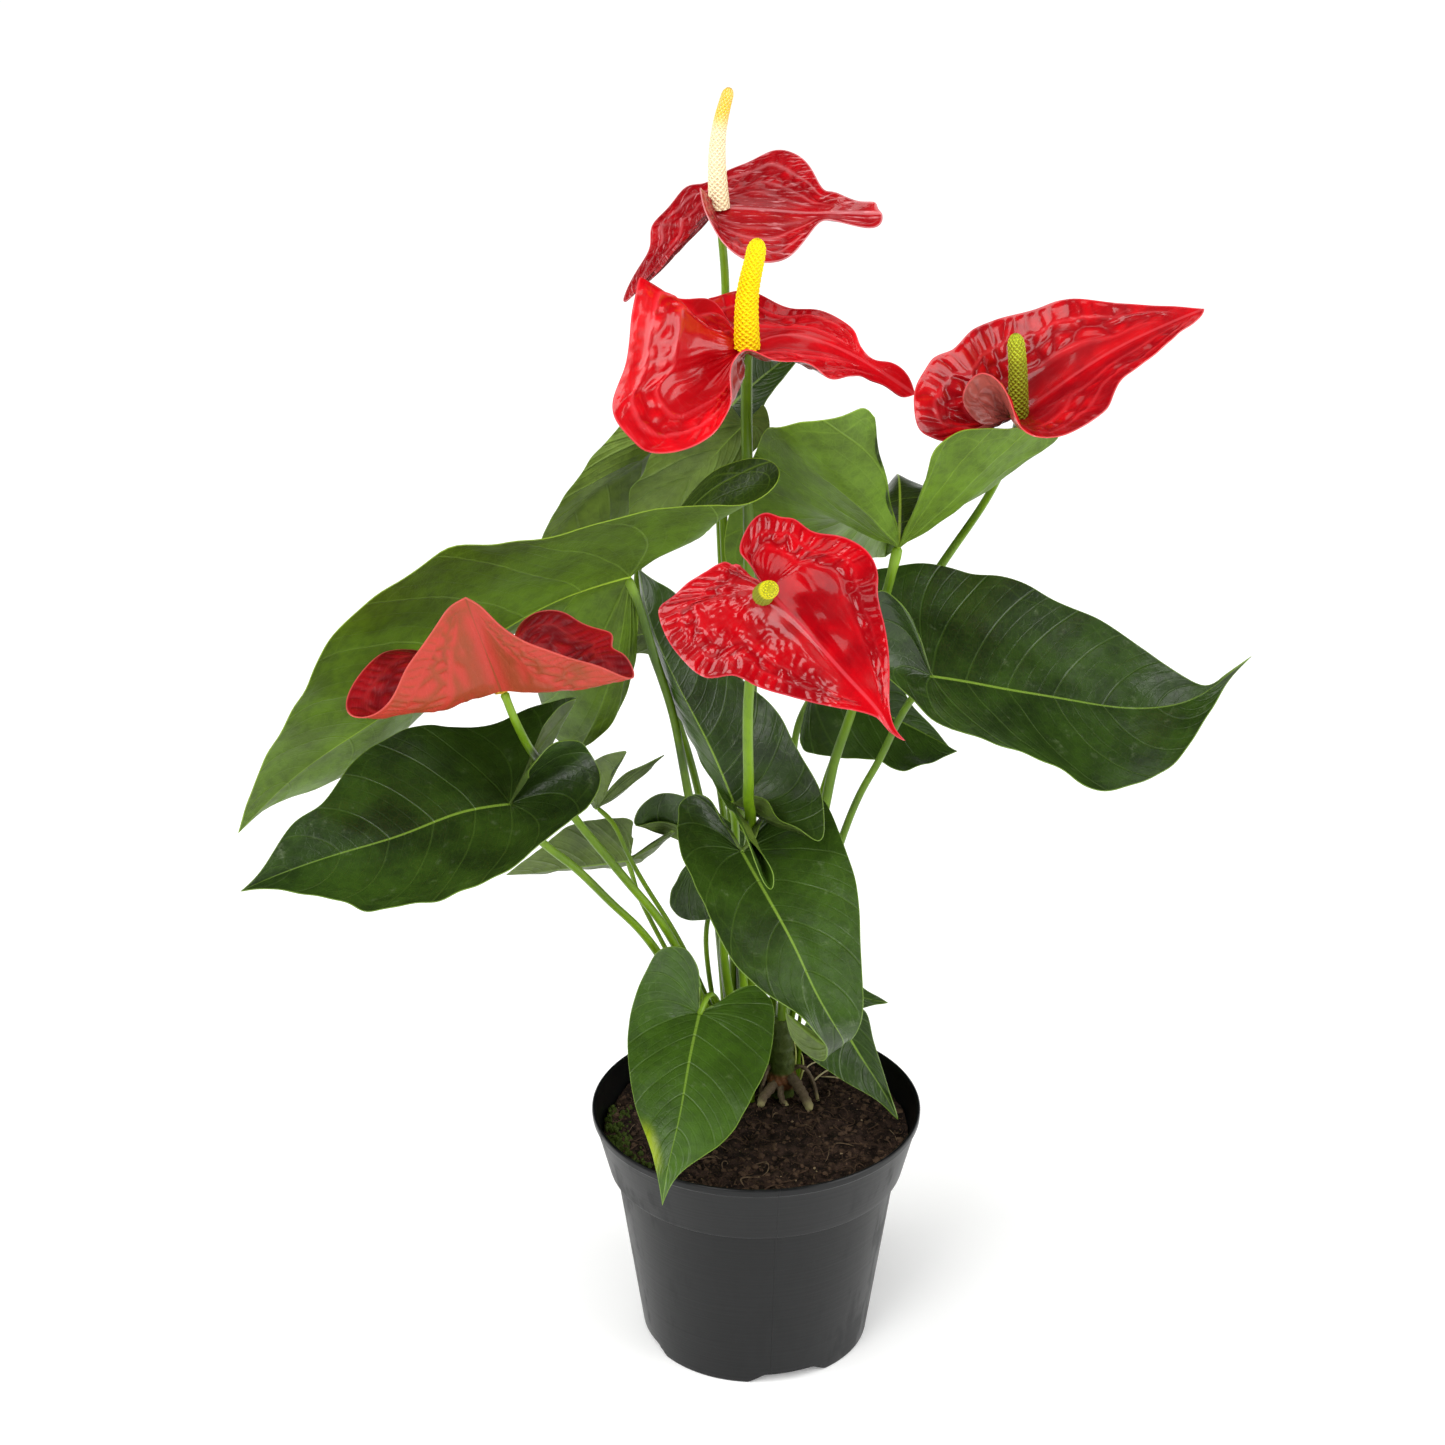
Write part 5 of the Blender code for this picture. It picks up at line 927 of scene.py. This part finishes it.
BLOOMS = {
    "top": dict(
        mid=[(-20, 50, 595), (5, 45, 595), (25, 36, 596), (35, 30, 598), (46, 26, 599), (57, 22, 600)],
        right=[(-22, 46, 598), (-27, 40, 603), (-28, 36, 608), (-27, 31, 602), (-24, 27, 595),
               (-18, 22, 586), (-8, 16, 579), (6, 12, 580), (14, 14, 583), (21, 19, 590), (28, 20, 597),
               (35, 18, 597), (44, 18, 594), (54, 18, 594), (57, 19, 597)],
        left=[(-24, 54, 590), (-37, 58, 575), (-53, 62, 556), (-65, 66, 543), (-60, 76, 554),
              (-53, 84, 566), (-52, 90, 574), (-44, 92, 583), (-35, 92, 593), (-26, 88, 596),
              (-15, 88, 602), (-4, 90, 606), (8, 90, 611), (18, 82, 612), (25, 68, 609), (31, 48, 604),
              (36, 36, 606), (47, 28, 604), (54, 26, 604), (55, 24, 602)],
        stalk=[(-19, 51, 592), (-18, 50, 583), (-16, 52, 552), (-18, 58, 516), (-18, 62, 474),
               (-17, 64, 431), (-11, 68, 331), (-2, 62, 231), (-3, 64, 134), (-3, 64, 121), (-3, 64, 106)],
        spadix=[(-19, 49, 597), (-20, 47, 619), (-18, 45, 639), (-14, 44, 654)],
        spadix_r=(5.0, 2.6),
        stalk_r=(1.9, 2.3), veins=(4, 6), bead=0.2, seed=41),
    "centre": dict(
        mid=[(-7, -5, 543), (10, 5, 546), (28, 6, 543), (45, 4, 536), (57, 6, 528), (74, 10, 515)],
        right=[(-12, 0, 549), (-16, 4, 555), (-23, 6, 562), (-33, 0, 565), (-43, -10, 570),
               (-50, -20, 577), (-55, -28, 584), (-57, -38, 576), (-59, -46, 565), (-62, -54, 548),
               (-67, -60, 536), (-65, -64, 527), (-56, -66, 516), (-48, -66, 513), (-32, -62, 514),
               (-23, -56, 517), (-18, -50, 521),
               (-14, -42, 530), (-13, -34, 541), (-10, -30, 546), (-6, -29, 548), (2, -29, 546),
               (11, -29, 544), (22, -29, 542), (31, -28, 535), (39, -22, 534), (45, -12, 532),
               (51, -4, 527), (59, 2, 522), (67, 6, 515)],
        left=[(-7, 4, 544), (-12, 14, 547), (-20, 26, 552), (-24, 36, 554), (-20, 42, 554),
              (-10, 44, 555), (2, 44, 552), (14, 38, 550), (27, 30, 550), (39, 22, 547),
              (46, 14, 543), (48, 8, 539), (54, 8, 533), (62, 10, 531), (70, 10, 525)],
        stalk=[(-6, -4, 541), (-6, 1, 505), (-5, 6, 455), (-4, 10, 399), (-3, 12, 356), (-3, 14, 292),
               (-3, 37, 134), (-3, 37, 121), (-3, 37, 106)],
        spadix=[(-6, -8, 546), (-6, -10, 568), (-3, -12, 586), (-1, -13, 598)],
        spadix_r=(5.9, 4.0),
        stalk_r=(2.6, 2.9), stalk_tone=0.4, veins=(5, 6), puff=1.3, cell=1.25, ridge=0.9, seed=43),
    "right": dict(
        mid=[(122, 0, 508), (143, 12, 519), (166, 18, 533), (190, 20, 545), (210, 20, 554)],
        right=[(119, -6, 508), (105, -16, 509), (98, -22, 517), (95, -26, 527), (100, -28, 537),
               (106, -32, 537), (112, -36, 531), (116, -40, 524), (120, -44, 518), (128, -48, 515),
               (139, -48, 515), (152, -42, 520), (161, -32, 526), (166, -22, 531), (177, -12, 536),
               (190, -2, 543), (197, 6, 547), (208, 16, 552)],
        left=[(114, -6, 508), (103, -14, 507), (89, -24, 504), (79, -28, 508), (74, -28, 512),
              (71, -26, 522), (72, -22, 528), (77, -16, 535), (82, -10, 540), (91, -4, 542),
              (98, 6, 547), (107, 12, 550), (120, 20, 551), (131, 26, 552), (141, 32, 554),
              (150, 36, 554), (162, 36, 553), (183, 32, 552), (199, 26, 553)],
        stalk=[(123, 2, 506), (122, 18, 489), (112, 44, 449), (92, 60, 408), (63, 78, 343), (44, 80, 300),
               (34, 74, 271), (23, 60, 220), (12, 64, 134), (12, 64, 121), (12, 64, 106)],
        spadix=[(122, -2, 510), (121, -4, 531), (119, -5, 550)],
        spadix_r=(4.8, 3.6),
        stalk_r=(2.0, 2.5), veins=(4, 6), puff=1.2, cell=1.35, ridge=0.6, seed=45),
    "front": dict(
        mid=[(2, -100, 460), (22, -113, 443), (40, -122, 425), (54, -127, 410), (59, -129, 402),
             (65, -129, 398)],
        right=[(-1, -99, 464), (-9, -94, 467), (-15, -91, 470), (-19, -89, 468), (-24, -90, 465),
               (-33, -92, 460), (-40, -94, 454), (-46, -95, 449), (-46, -97, 444), (-42, -103, 436),
               (-34, -110, 428), (-24, -115, 423), (-13, -117, 425), (-3, -119, 421), (14, -123, 417),
               (34, -126, 413), (52, -128, 409), (57, -128, 403)],
        left=[(0, -99, 464), (-5, -97, 470), (-9, -93, 475), (-8, -88, 481), (-3, -84, 488),
              (3, -82, 490), (9, -82, 488), (15, -82, 487), (23, -84, 482), (34, -84, 480),
              (42, -84, 477), (49, -86, 472), (53, -90, 464), (53, -96, 456), (56, -104, 443),
              (58, -112, 428), (58, -119, 415), (60, -126, 404)],
        stalk=[(2, -97, 457), (0, -90, 441), (-5, -74, 399), (-5, -58, 345), (-5, -51, 331),
               (-4, -43, 320), (-4, -32, 308), (-4, -22, 295), (-5, -15, 281), (0, -4, 236),
               (14, 33, 186), (14, 33, 169), (14, 33, 124)],
        spadix=[(1, -104, 459), (2, -122, 468), (4, -142, 477)],
        spadix_r=(4.6, 3.5),
        stalk_r=(2.4, 3.0), veins=(4, 6), crumple=0.35, inland=18, inner=0.4, puff=1.2, seed=47),
    "left": dict(
        mid=[(-118, -110, 415), (-122, -124, 437), (-126, -136, 457), (-130, -144, 474)],
        right=[(-123, -100, 413), (-143, -80, 414), (-159, -74, 419), (-171, -78, 421), (-178, -84, 419),
               (-185, -94, 414), (-189, -104, 408), (-188, -112, 405), (-183, -118, 405),
               (-168, -128, 416), (-159, -134, 434), (-151, -138, 448), (-143, -141, 460),
               (-136, -144, 470)],
        left=[(-115, -100, 414), (-113, -84, 423), (-111, -78, 431), (-104, -74, 438), (-91, -74, 438),
              (-83, -78, 435), (-73, -84, 434), (-68, -88, 433), (-68, -94, 430), (-63, -100, 429),
              (-58, -108, 424), (-59, -114, 423), (-77, -126, 434), (-96, -134, 445), (-113, -140, 457),
              (-124, -144, 470)],
        stalk=[(-118, -110, 413), (-113, -108, 401), (-108, -86, 376), (-105, -68, 361), (-101, -52, 346),
               (-98, -42, 333), (-89, -36, 314), (-75, -26, 289), (-60, -12, 261), (-43, 4, 226),
               (-15, 31, 134), (-15, 31, 121), (-15, 31, 106)],
        spadix=[(-118, -106, 415), (-122, -106, 428), (-126, -108, 442)],
        spadix_r=(4.4, 3.2),
        stalk_r=(1.9, 2.4), veins=(4, 5), seed=49),
}


def cells(x, y, seed):
    """Distance to the nearest and second nearest of points set one to a unit square at random places."""
    r = np.random.default_rng(seed)
    table = r.uniform(0.1, 0.9, (64, 64, 2))
    ix, iy = np.floor(x).astype(int), np.floor(y).astype(int)
    found = []
    for dx in (-1, 0, 1):
        for dy in (-1, 0, 1):
            spot = table[(ix + dx) % 64, (iy + dy) % 64]
            found.append(np.hypot(ix + dx + spot[..., 0] - x, iy + dy + spot[..., 1] - y))
    found = np.sort(np.stack(found), axis=0)
    return found[0], found[1]


def spathe_form(bloom):
    """Relief of a spathe. Two raised veins follow the margin, with finger-like pillows outside the first
    and round pillows between them. Inside, narrow puffs stretch outwards in the lobes and along the
    midrib in front, and two long veins arch to the tip. A valley mask is 1 in the valleys, where the finish
    darkens the red as painted shade, and a crest mask is 1 on veins. Where a bloom asks for it, a fine
    crumple lies over the inside of the right half."""
    depth, size = bloom.get("puff", 1.0), bloom.get("cell", 1.0)

    def form(s):
        width = s["away"] + s["rim"]
        scale = np.clip(width / 44, 0.3, 1)
        sway = waves(s["grid"], 22, 12, bloom["seed"])
        rim, trip, away = s["rim"] / scale + 0.9 * sway, s["round"] + 2.0 * sway, s["away"] + 0.8 * sway
        rim, trip, away = rim / size, trip / size, away / size
        clear, inland = step(s["away"], 1.5, 8), bloom.get("inland", 22)
        finger = np.abs(np.sin(np.pi * trip / 5.4)) ** 0.7
        outer = step(s["rim"], 0.4, 2.5) * (1 - step(rim, 7.5, 9.0)) * step(s["place"], 0.1, 0.4)
        near, far = cells(trip / 9.0 + 20, rim / 7.5 + 20, bloom["seed"])
        pillow = step(far - near, 0.0, 0.7)
        middle = step(rim, 9.0, 10.5) * (1 - step(rim, inland - 3, inland))
        front = step(s["place"], 0.75, 1.1)
        near, far = cells(trip / 7.0 + 20, away / 20 + 20, bloom["seed"] + 1)
        spoke = step(far - near, 0.0, 0.8)
        near, far = cells(trip / 26 + 20, away / 8.0 + 20, bloom["seed"] + 2)
        stripe = step(far - near, 0.0, 0.8)
        inside = spoke * (1 - front) + stripe * front
        inner = step(rim, inland, inland + 3) * bloom.get("inner", 1.0)
        crest = np.exp(-(((rim - 9.2) / 0.9) ** 2)) + 0.8 * np.exp(-(((rim - inland) / 1.0) ** 2))
        for share in (0.3, 0.55):
            crest = crest + 0.6 * inner * front * np.exp(-(((s["away"] - share * width) / 0.8) ** 2))
        inside = inside * (0.35 + 0.65 * front) * step(s["away"], 4, 16)
        height = 0.6 * finger * outer + 0.9 * pillow * middle + 0.8 * inside * inner
        height = depth * (height * np.sqrt(scale) + bloom.get("ridge", 0.35) * crest) * clear
        crumple = 1 - np.abs(waves(s["grid"], 6.5, 16, bloom["seed"] + 7))
        crumple = crumple * clear * step(s["away"], 5, 13) * (1 - outer)
        height[0] = height[0] + bloom.get("crumple", 0) * crumple[0]
        uneven = waves(s["grid"], 34, 14, bloom["seed"] + 3) * 0.9 + sway * 0.35
        height = height + uneven * step(s["away"], 0, 12)
        rib = np.exp(-((s["away"] / 1.5) ** 2)) * step(2.02 - s["place"], 0, 0.3)
        valley = ((1 - finger) ** 2 * outer + (1 - pillow) * middle + (1 - inside) * inner) * clear
        s["painted_valley_shade"], s["crest"] = np.clip(valley, 0, 1), np.clip(crest * clear, 0, 1)
        return height - 0.5 * rib, height - 0.9 * rib
    return form


def spathe_finish(name, top, top_deep_and_shade, pale_and_highlight, under, under_deep_and_shade, gloss, wrinkle_highlight=0.1, grain=0.04, coat=0.48,
                  veins=0.2):
    """Waxy bract: lacquer-bright above, duller and paler below, its veins a shade lighter, the valleys
    between its pillows darkened with painted shade, and wrinkles along the sheet painted pale where they
    catch the light, strongest on the old top bloom."""
    mat, tree, shader = finish(name, IOR=1.45, Specular_IOR_Level=0.22, Coat_Weight=coat,
                               Coat_Roughness=gloss * 0.35)
    upper, away, rim = (field(tree, key) for key in ("upper", "away", "rim"))
    painted_valley_shade, crest = field(tree, "painted_valley_shade"), field(tree, "crest")
    patch, fleck = speckle(tree, 22.0, 4.0, 0.6), speckle(tree, 4.0, 3.0, 0.5)
    above = blend(tree, between(tree, patch, 0.3, 0.7), linear(top), linear(top_deep_and_shade))
    # The valleys between pillows are darkened: painted shade.
    above = blend(tree, calc(tree, "MULTIPLY", painted_valley_shade, 0.8), above, linear(top_deep_and_shade))
    below = blend(tree, between(tree, patch, 0.5, 0.75, 0.0, 0.8), linear(under), linear(under_deep_and_shade))
    # Below, the valleys get painted shade as well, and the midrib a deeper colour.
    valley_shade_and_midrib = calc(tree, "MULTIPLY", painted_valley_shade, 0.7)
    valley_shade_and_midrib = calc(tree, "MAXIMUM", valley_shade_and_midrib, between(tree, away, 0.4, 1.0, 0.8, 0.0))
    below = blend(tree, valley_shade_and_midrib, below, linear(under_deep_and_shade))
    face = blend(tree, upper, below, above)
    lines = calc(tree, "MULTIPLY", crest, veins)
    lines = calc(tree, "MAXIMUM", lines, between(tree, away, 0.4, 1.2, 0.3, 0.0))
    lines = calc(tree, "MULTIPLY", lines, upper)
    face = blend(tree, lines, face, linear(pale_and_highlight))
    # Wrinkles 1.5 mm apart and 15 mm long, laid along the margin: they roughen the relief, and their crests
    # are painted pale as painted highlights.
    flow = add(tree, "CombineXYZ", {0: calc(tree, "MULTIPLY", field(tree, "round"), 0.07),
                                    1: calc(tree, "MULTIPLY", away, 0.65)}).outputs[0]
    wrinkle = {"Vector": flow, "Scale": 1.0, "Detail": 4.0, "Roughness": 0.6}
    wrinkle = add(tree, "TexNoise", wrinkle).outputs["Fac"]
    face = blend(tree, between(tree, wrinkle, 0.55, 0.68, 0.0, wrinkle_highlight), face, linear(pale_and_highlight))
    face = blend(tree, between(tree, rim, 0.2, 0.8, 0.4, 0.0), face, linear(pale_and_highlight))
    tree.links.new(face, shader.inputs["Base Color"])
    rough = calc(tree, "MULTIPLY_ADD", upper, gloss - 0.45, 0.4)
    tree.links.new(calc(tree, "MULTIPLY_ADD", fleck, 0.1, rough), shader.inputs["Roughness"])
    relief(tree, shader, calc(tree, "MULTIPLY_ADD", wrinkle, 2.0, fleck), grain)
    return mat


SPATHE_FINISH = {
    # The top bloom's pale wrinkle streaks are painted highlights.
    "top": spathe_finish("ageing red bract", "#BA0612", "#8A050E", "#F0A8AC", "#7E2024", "#5E1216", 0.3,
                         0.45, 0.35),
    "centre": spathe_finish("glossy red bract", "#DA0614", "#A8040E", "#EE5A62", "#8E2A24", "#7A1A18", 0.32,
                            veins=0.3),
    "right": spathe_finish("dark red bract", "#C80812", "#8A0610", "#E05A60", "#B85A50", "#7A302A", 0.3),
    "front": spathe_finish("scarlet bract", "#BE020E", "#84020A", "#E85A66", "#8E2A24", "#7A1A18", 0.24, 0.03,
                           veins=0.04),
    # The left bloom's red above is darker, partly its own colour and partly painted shade.
    "left": spathe_finish("coral-backed bract", "#900A12", "#58060C", "#E86A62", "#B4392C", "#84401A", 0.34,
                          0.06, 0.2, 0.12, 0.05),
}


SPIRALS, SPIRAL_TURN = 5, 1.15


def spadix_finish(name, foot, tip, dot, ring):
    """Spike of tiny flowers: diamonds in crossing spirals about 2.8 mm apart, each with a stigma dot."""
    mat, tree, shader = finish(name, IOR=1.42, Specular_IOR_Level=0.3)
    place = add(tree, "SeparateXYZ", {0: add(tree, "UVMap", uv_map="uv").outputs[0]})
    around, up = place.outputs[0], place.outputs[1]
    rise, turns = calc(tree, "MULTIPLY", up, SPIRAL_TURN), SPIRALS * 2 * np.pi
    one = calc(tree, "SINE", calc(tree, "MULTIPLY_ADD", around, turns, rise))
    two = calc(tree, "SINE", calc(tree, "MULTIPLY_ADD", around, -turns, rise))
    peak = calc(tree, "ABSOLUTE", calc(tree, "MULTIPLY", one, two))
    body = blend(tree, between(tree, field(tree, "grow"), 0.62, 0.8), linear(foot), linear(tip))
    body = blend(tree, between(tree, speckle(tree, 5.0), 0.3, 0.7, 0.0, 0.25), body, linear(ring))
    body = blend(tree, between(tree, peak, 0.0, 0.35, 0.75, 0.0), body, linear(ring))
    body = blend(tree, between(tree, peak, 0.8, 0.92, 0.0, 0.8), body, linear(dot))
    tree.links.new(body, shader.inputs["Base Color"])
    tree.links.new(between(tree, peak, 0.0, 1.0, 0.6, 0.42), shader.inputs["Roughness"])
    relief(tree, shader, peak, 0.5)
    return mat


SPADIX_FINISH = {
    "top": spadix_finish("cream spadix, yellow tip", "#FFF6D0", "#FFC800", "#ECBC74", "#F2DEA4"),
    "centre": spadix_finish("yellow spadix", "#FFE400", "#FFEC10", "#CC9A06", "#EAC200"),
    "right": spadix_finish("lime spadix", "#9AA01E", "#C2CC30", "#5E6C1A", "#7F8420"),
    "front": spadix_finish("olive spadix", "#8A8E20", "#E6DE14", "#70701C", "#6E742A"),
    "left": spadix_finish("ochre spadix", "#C9A52A", "#E2C63A", "#F0DE80", "#9A7A20"),
}


def spadix_radius(radii, bead=0.45):
    """Even taper with a domed end, and beads where two spirals of flowers cross, bead mm high:
    (taper + bead |sin(n a + k start) sin(-n a + k start)|^0.7) dome."""
    def radius(start, left, a):
        body = radii[0] + (radii[1] - radii[0]) * start / (start + left)
        dome = np.sqrt(np.clip(1 - (1 - np.minimum(left / (1.6 * radii[-1]), 1)) ** 2, 0.02, 1))
        rise, turns = SPIRAL_TURN * start, SPIRALS * a
        return (body + bead * np.abs(np.sin(turns + rise) * np.sin(-turns + rise)) ** 0.7) * dome
    return radius


SPATHE_T, SPADIX_SUNK = 1.0, 2.0
for name, bloom in BLOOMS.items():
    points, tri, fields = blade(bloom, SPATHE_T, spathe_form(bloom), 130, 100, 50)
    piece("spathe_" + name + "_bract", points, tri, SPATHE_FINISH[name], "spathe_" + name, "spathe", 50,
          **fields)
    lean = unit(np.subtract(bloom["spadix"][1], bloom["spadix"][0]))
    base = bloom["spadix"][0] - lean * SPADIX_SUNK
    radius = spadix_radius(bloom["spadix_r"], bloom.get("bead", 0.45))
    grid, f, a, length = tube([base] + bloom["spadix"], radius, 108, 300)
    points, tri, own = surfaced(grid)
    around = np.broadcast_to(a / (2 * np.pi), grid.shape[:2]).reshape(-1)[own]
    up = np.repeat(f * length, len(a))[own]
    piece("spadix_" + name + "_spike", points, tri, SPADIX_FINISH[name], "spadix_" + name, "spadix", 80,
          grow=np.repeat(f, len(a))[own], uv=np.stack([around, up], -1))
    grid, f, a, length = tube([base] + bloom["stalk"][1:], stalk_radius(bloom["stalk_r"], 0.16, 4.0), 18, 150)
    points, tri, own = surfaced(grid)
    knee = np.exp(-(f * length / 9) ** 2)
    piece("peduncle_" + name + "_stalk", points, tri, stalk_skin, "peduncle_" + name, "stem", 80,
          knee=np.repeat(knee, len(a))[own], tone=np.full(tri.shape, bloom.get("stalk_tone", 0.75)))

# Studio: a white floor that glows faintly, five square soft lights, the widest at the right, a white
# ceiling from high up and even white surroundings, the last two left out of reflections.

mat, tree, shader = finish("white paper sweep", Roughness=0.9, Specular_IOR_Level=0.1, Emission_Strength=0.18)
paper = blend(tree, speckle(tree, 60.0), linear("#F4F4F3"), linear("#F7F7F6"))
tree.links.new(paper, shader.inputs["Base Color"])
floor = bpy.data.meshes.new("floor")
floor.from_pydata([(-300, -300, 0), (300, -300, 0), (300, 300, 0), (-300, 300, 0)], [], [(0, 1, 2, 3)])
floor.materials.append(mat)
floor = bpy.data.objects.new("floor", floor)
bpy.context.scene.collection.objects.link(floor)


def softbox(name, place, size, watts):
    """Square area light at place, facing the middle of the plant, 0.4 m up."""
    light = bpy.data.lights.new(name, "AREA")
    light.size, light.energy = size, watts
    obj = bpy.data.objects.new(name, light)
    way = np.subtract((0, 0, 0.4), place)
    flat = np.hypot(way[0], way[1])
    obj.location = place
    obj.rotation_euler = (np.arctan2(flat, -way[2]), 0, np.arctan2(-way[0], way[1]))
    bpy.context.scene.collection.objects.link(obj)


softbox("front box", (-1.1, -1.95, 1.4), 1.0, 19)
softbox("left box", (-1.9, -0.6, 1.75), 0.9, 15)
softbox("right box", (2.1, -1.0, 0.7), 1.7, 39)
softbox("back box", (0.2, 1.5, 2.2), 1.2, 4)
softbox("top box", (0.55, -0.7, 2.3), 0.8, 4)
ceiling = bpy.data.lights.new("white ceiling", "SUN")
ceiling.energy, ceiling.angle = 2.35, np.radians(70)
ceiling = bpy.data.objects.new("white ceiling", ceiling)
ceiling.rotation_euler = (np.radians(20), np.radians(-12), 0)
ceiling.visible_glossy = False
bpy.context.scene.collection.objects.link(ceiling)

world = bpy.data.worlds.new("white surroundings")
world.use_nodes = True
world.node_tree.nodes["Background"].inputs["Color"].default_value = (1, 1, 1, 1)
world.node_tree.nodes["Background"].inputs["Strength"].default_value = 0.2
world.cycles_visibility.glossy = False
bpy.context.scene.world = world
bpy.context.scene.view_settings.view_transform = "Standard"

camera = bpy.data.cameras.new("camera")
camera.lens, camera.sensor_width, camera.sensor_fit = 85, 36, "AUTO"
camera = bpy.data.objects.new("camera", camera)
camera.location = (-0.0174, -1.5284, 1.0389)
camera.rotation_euler = (np.radians(65.7), 0, 0)
bpy.context.scene.collection.objects.link(camera)
bpy.context.scene.camera = camera
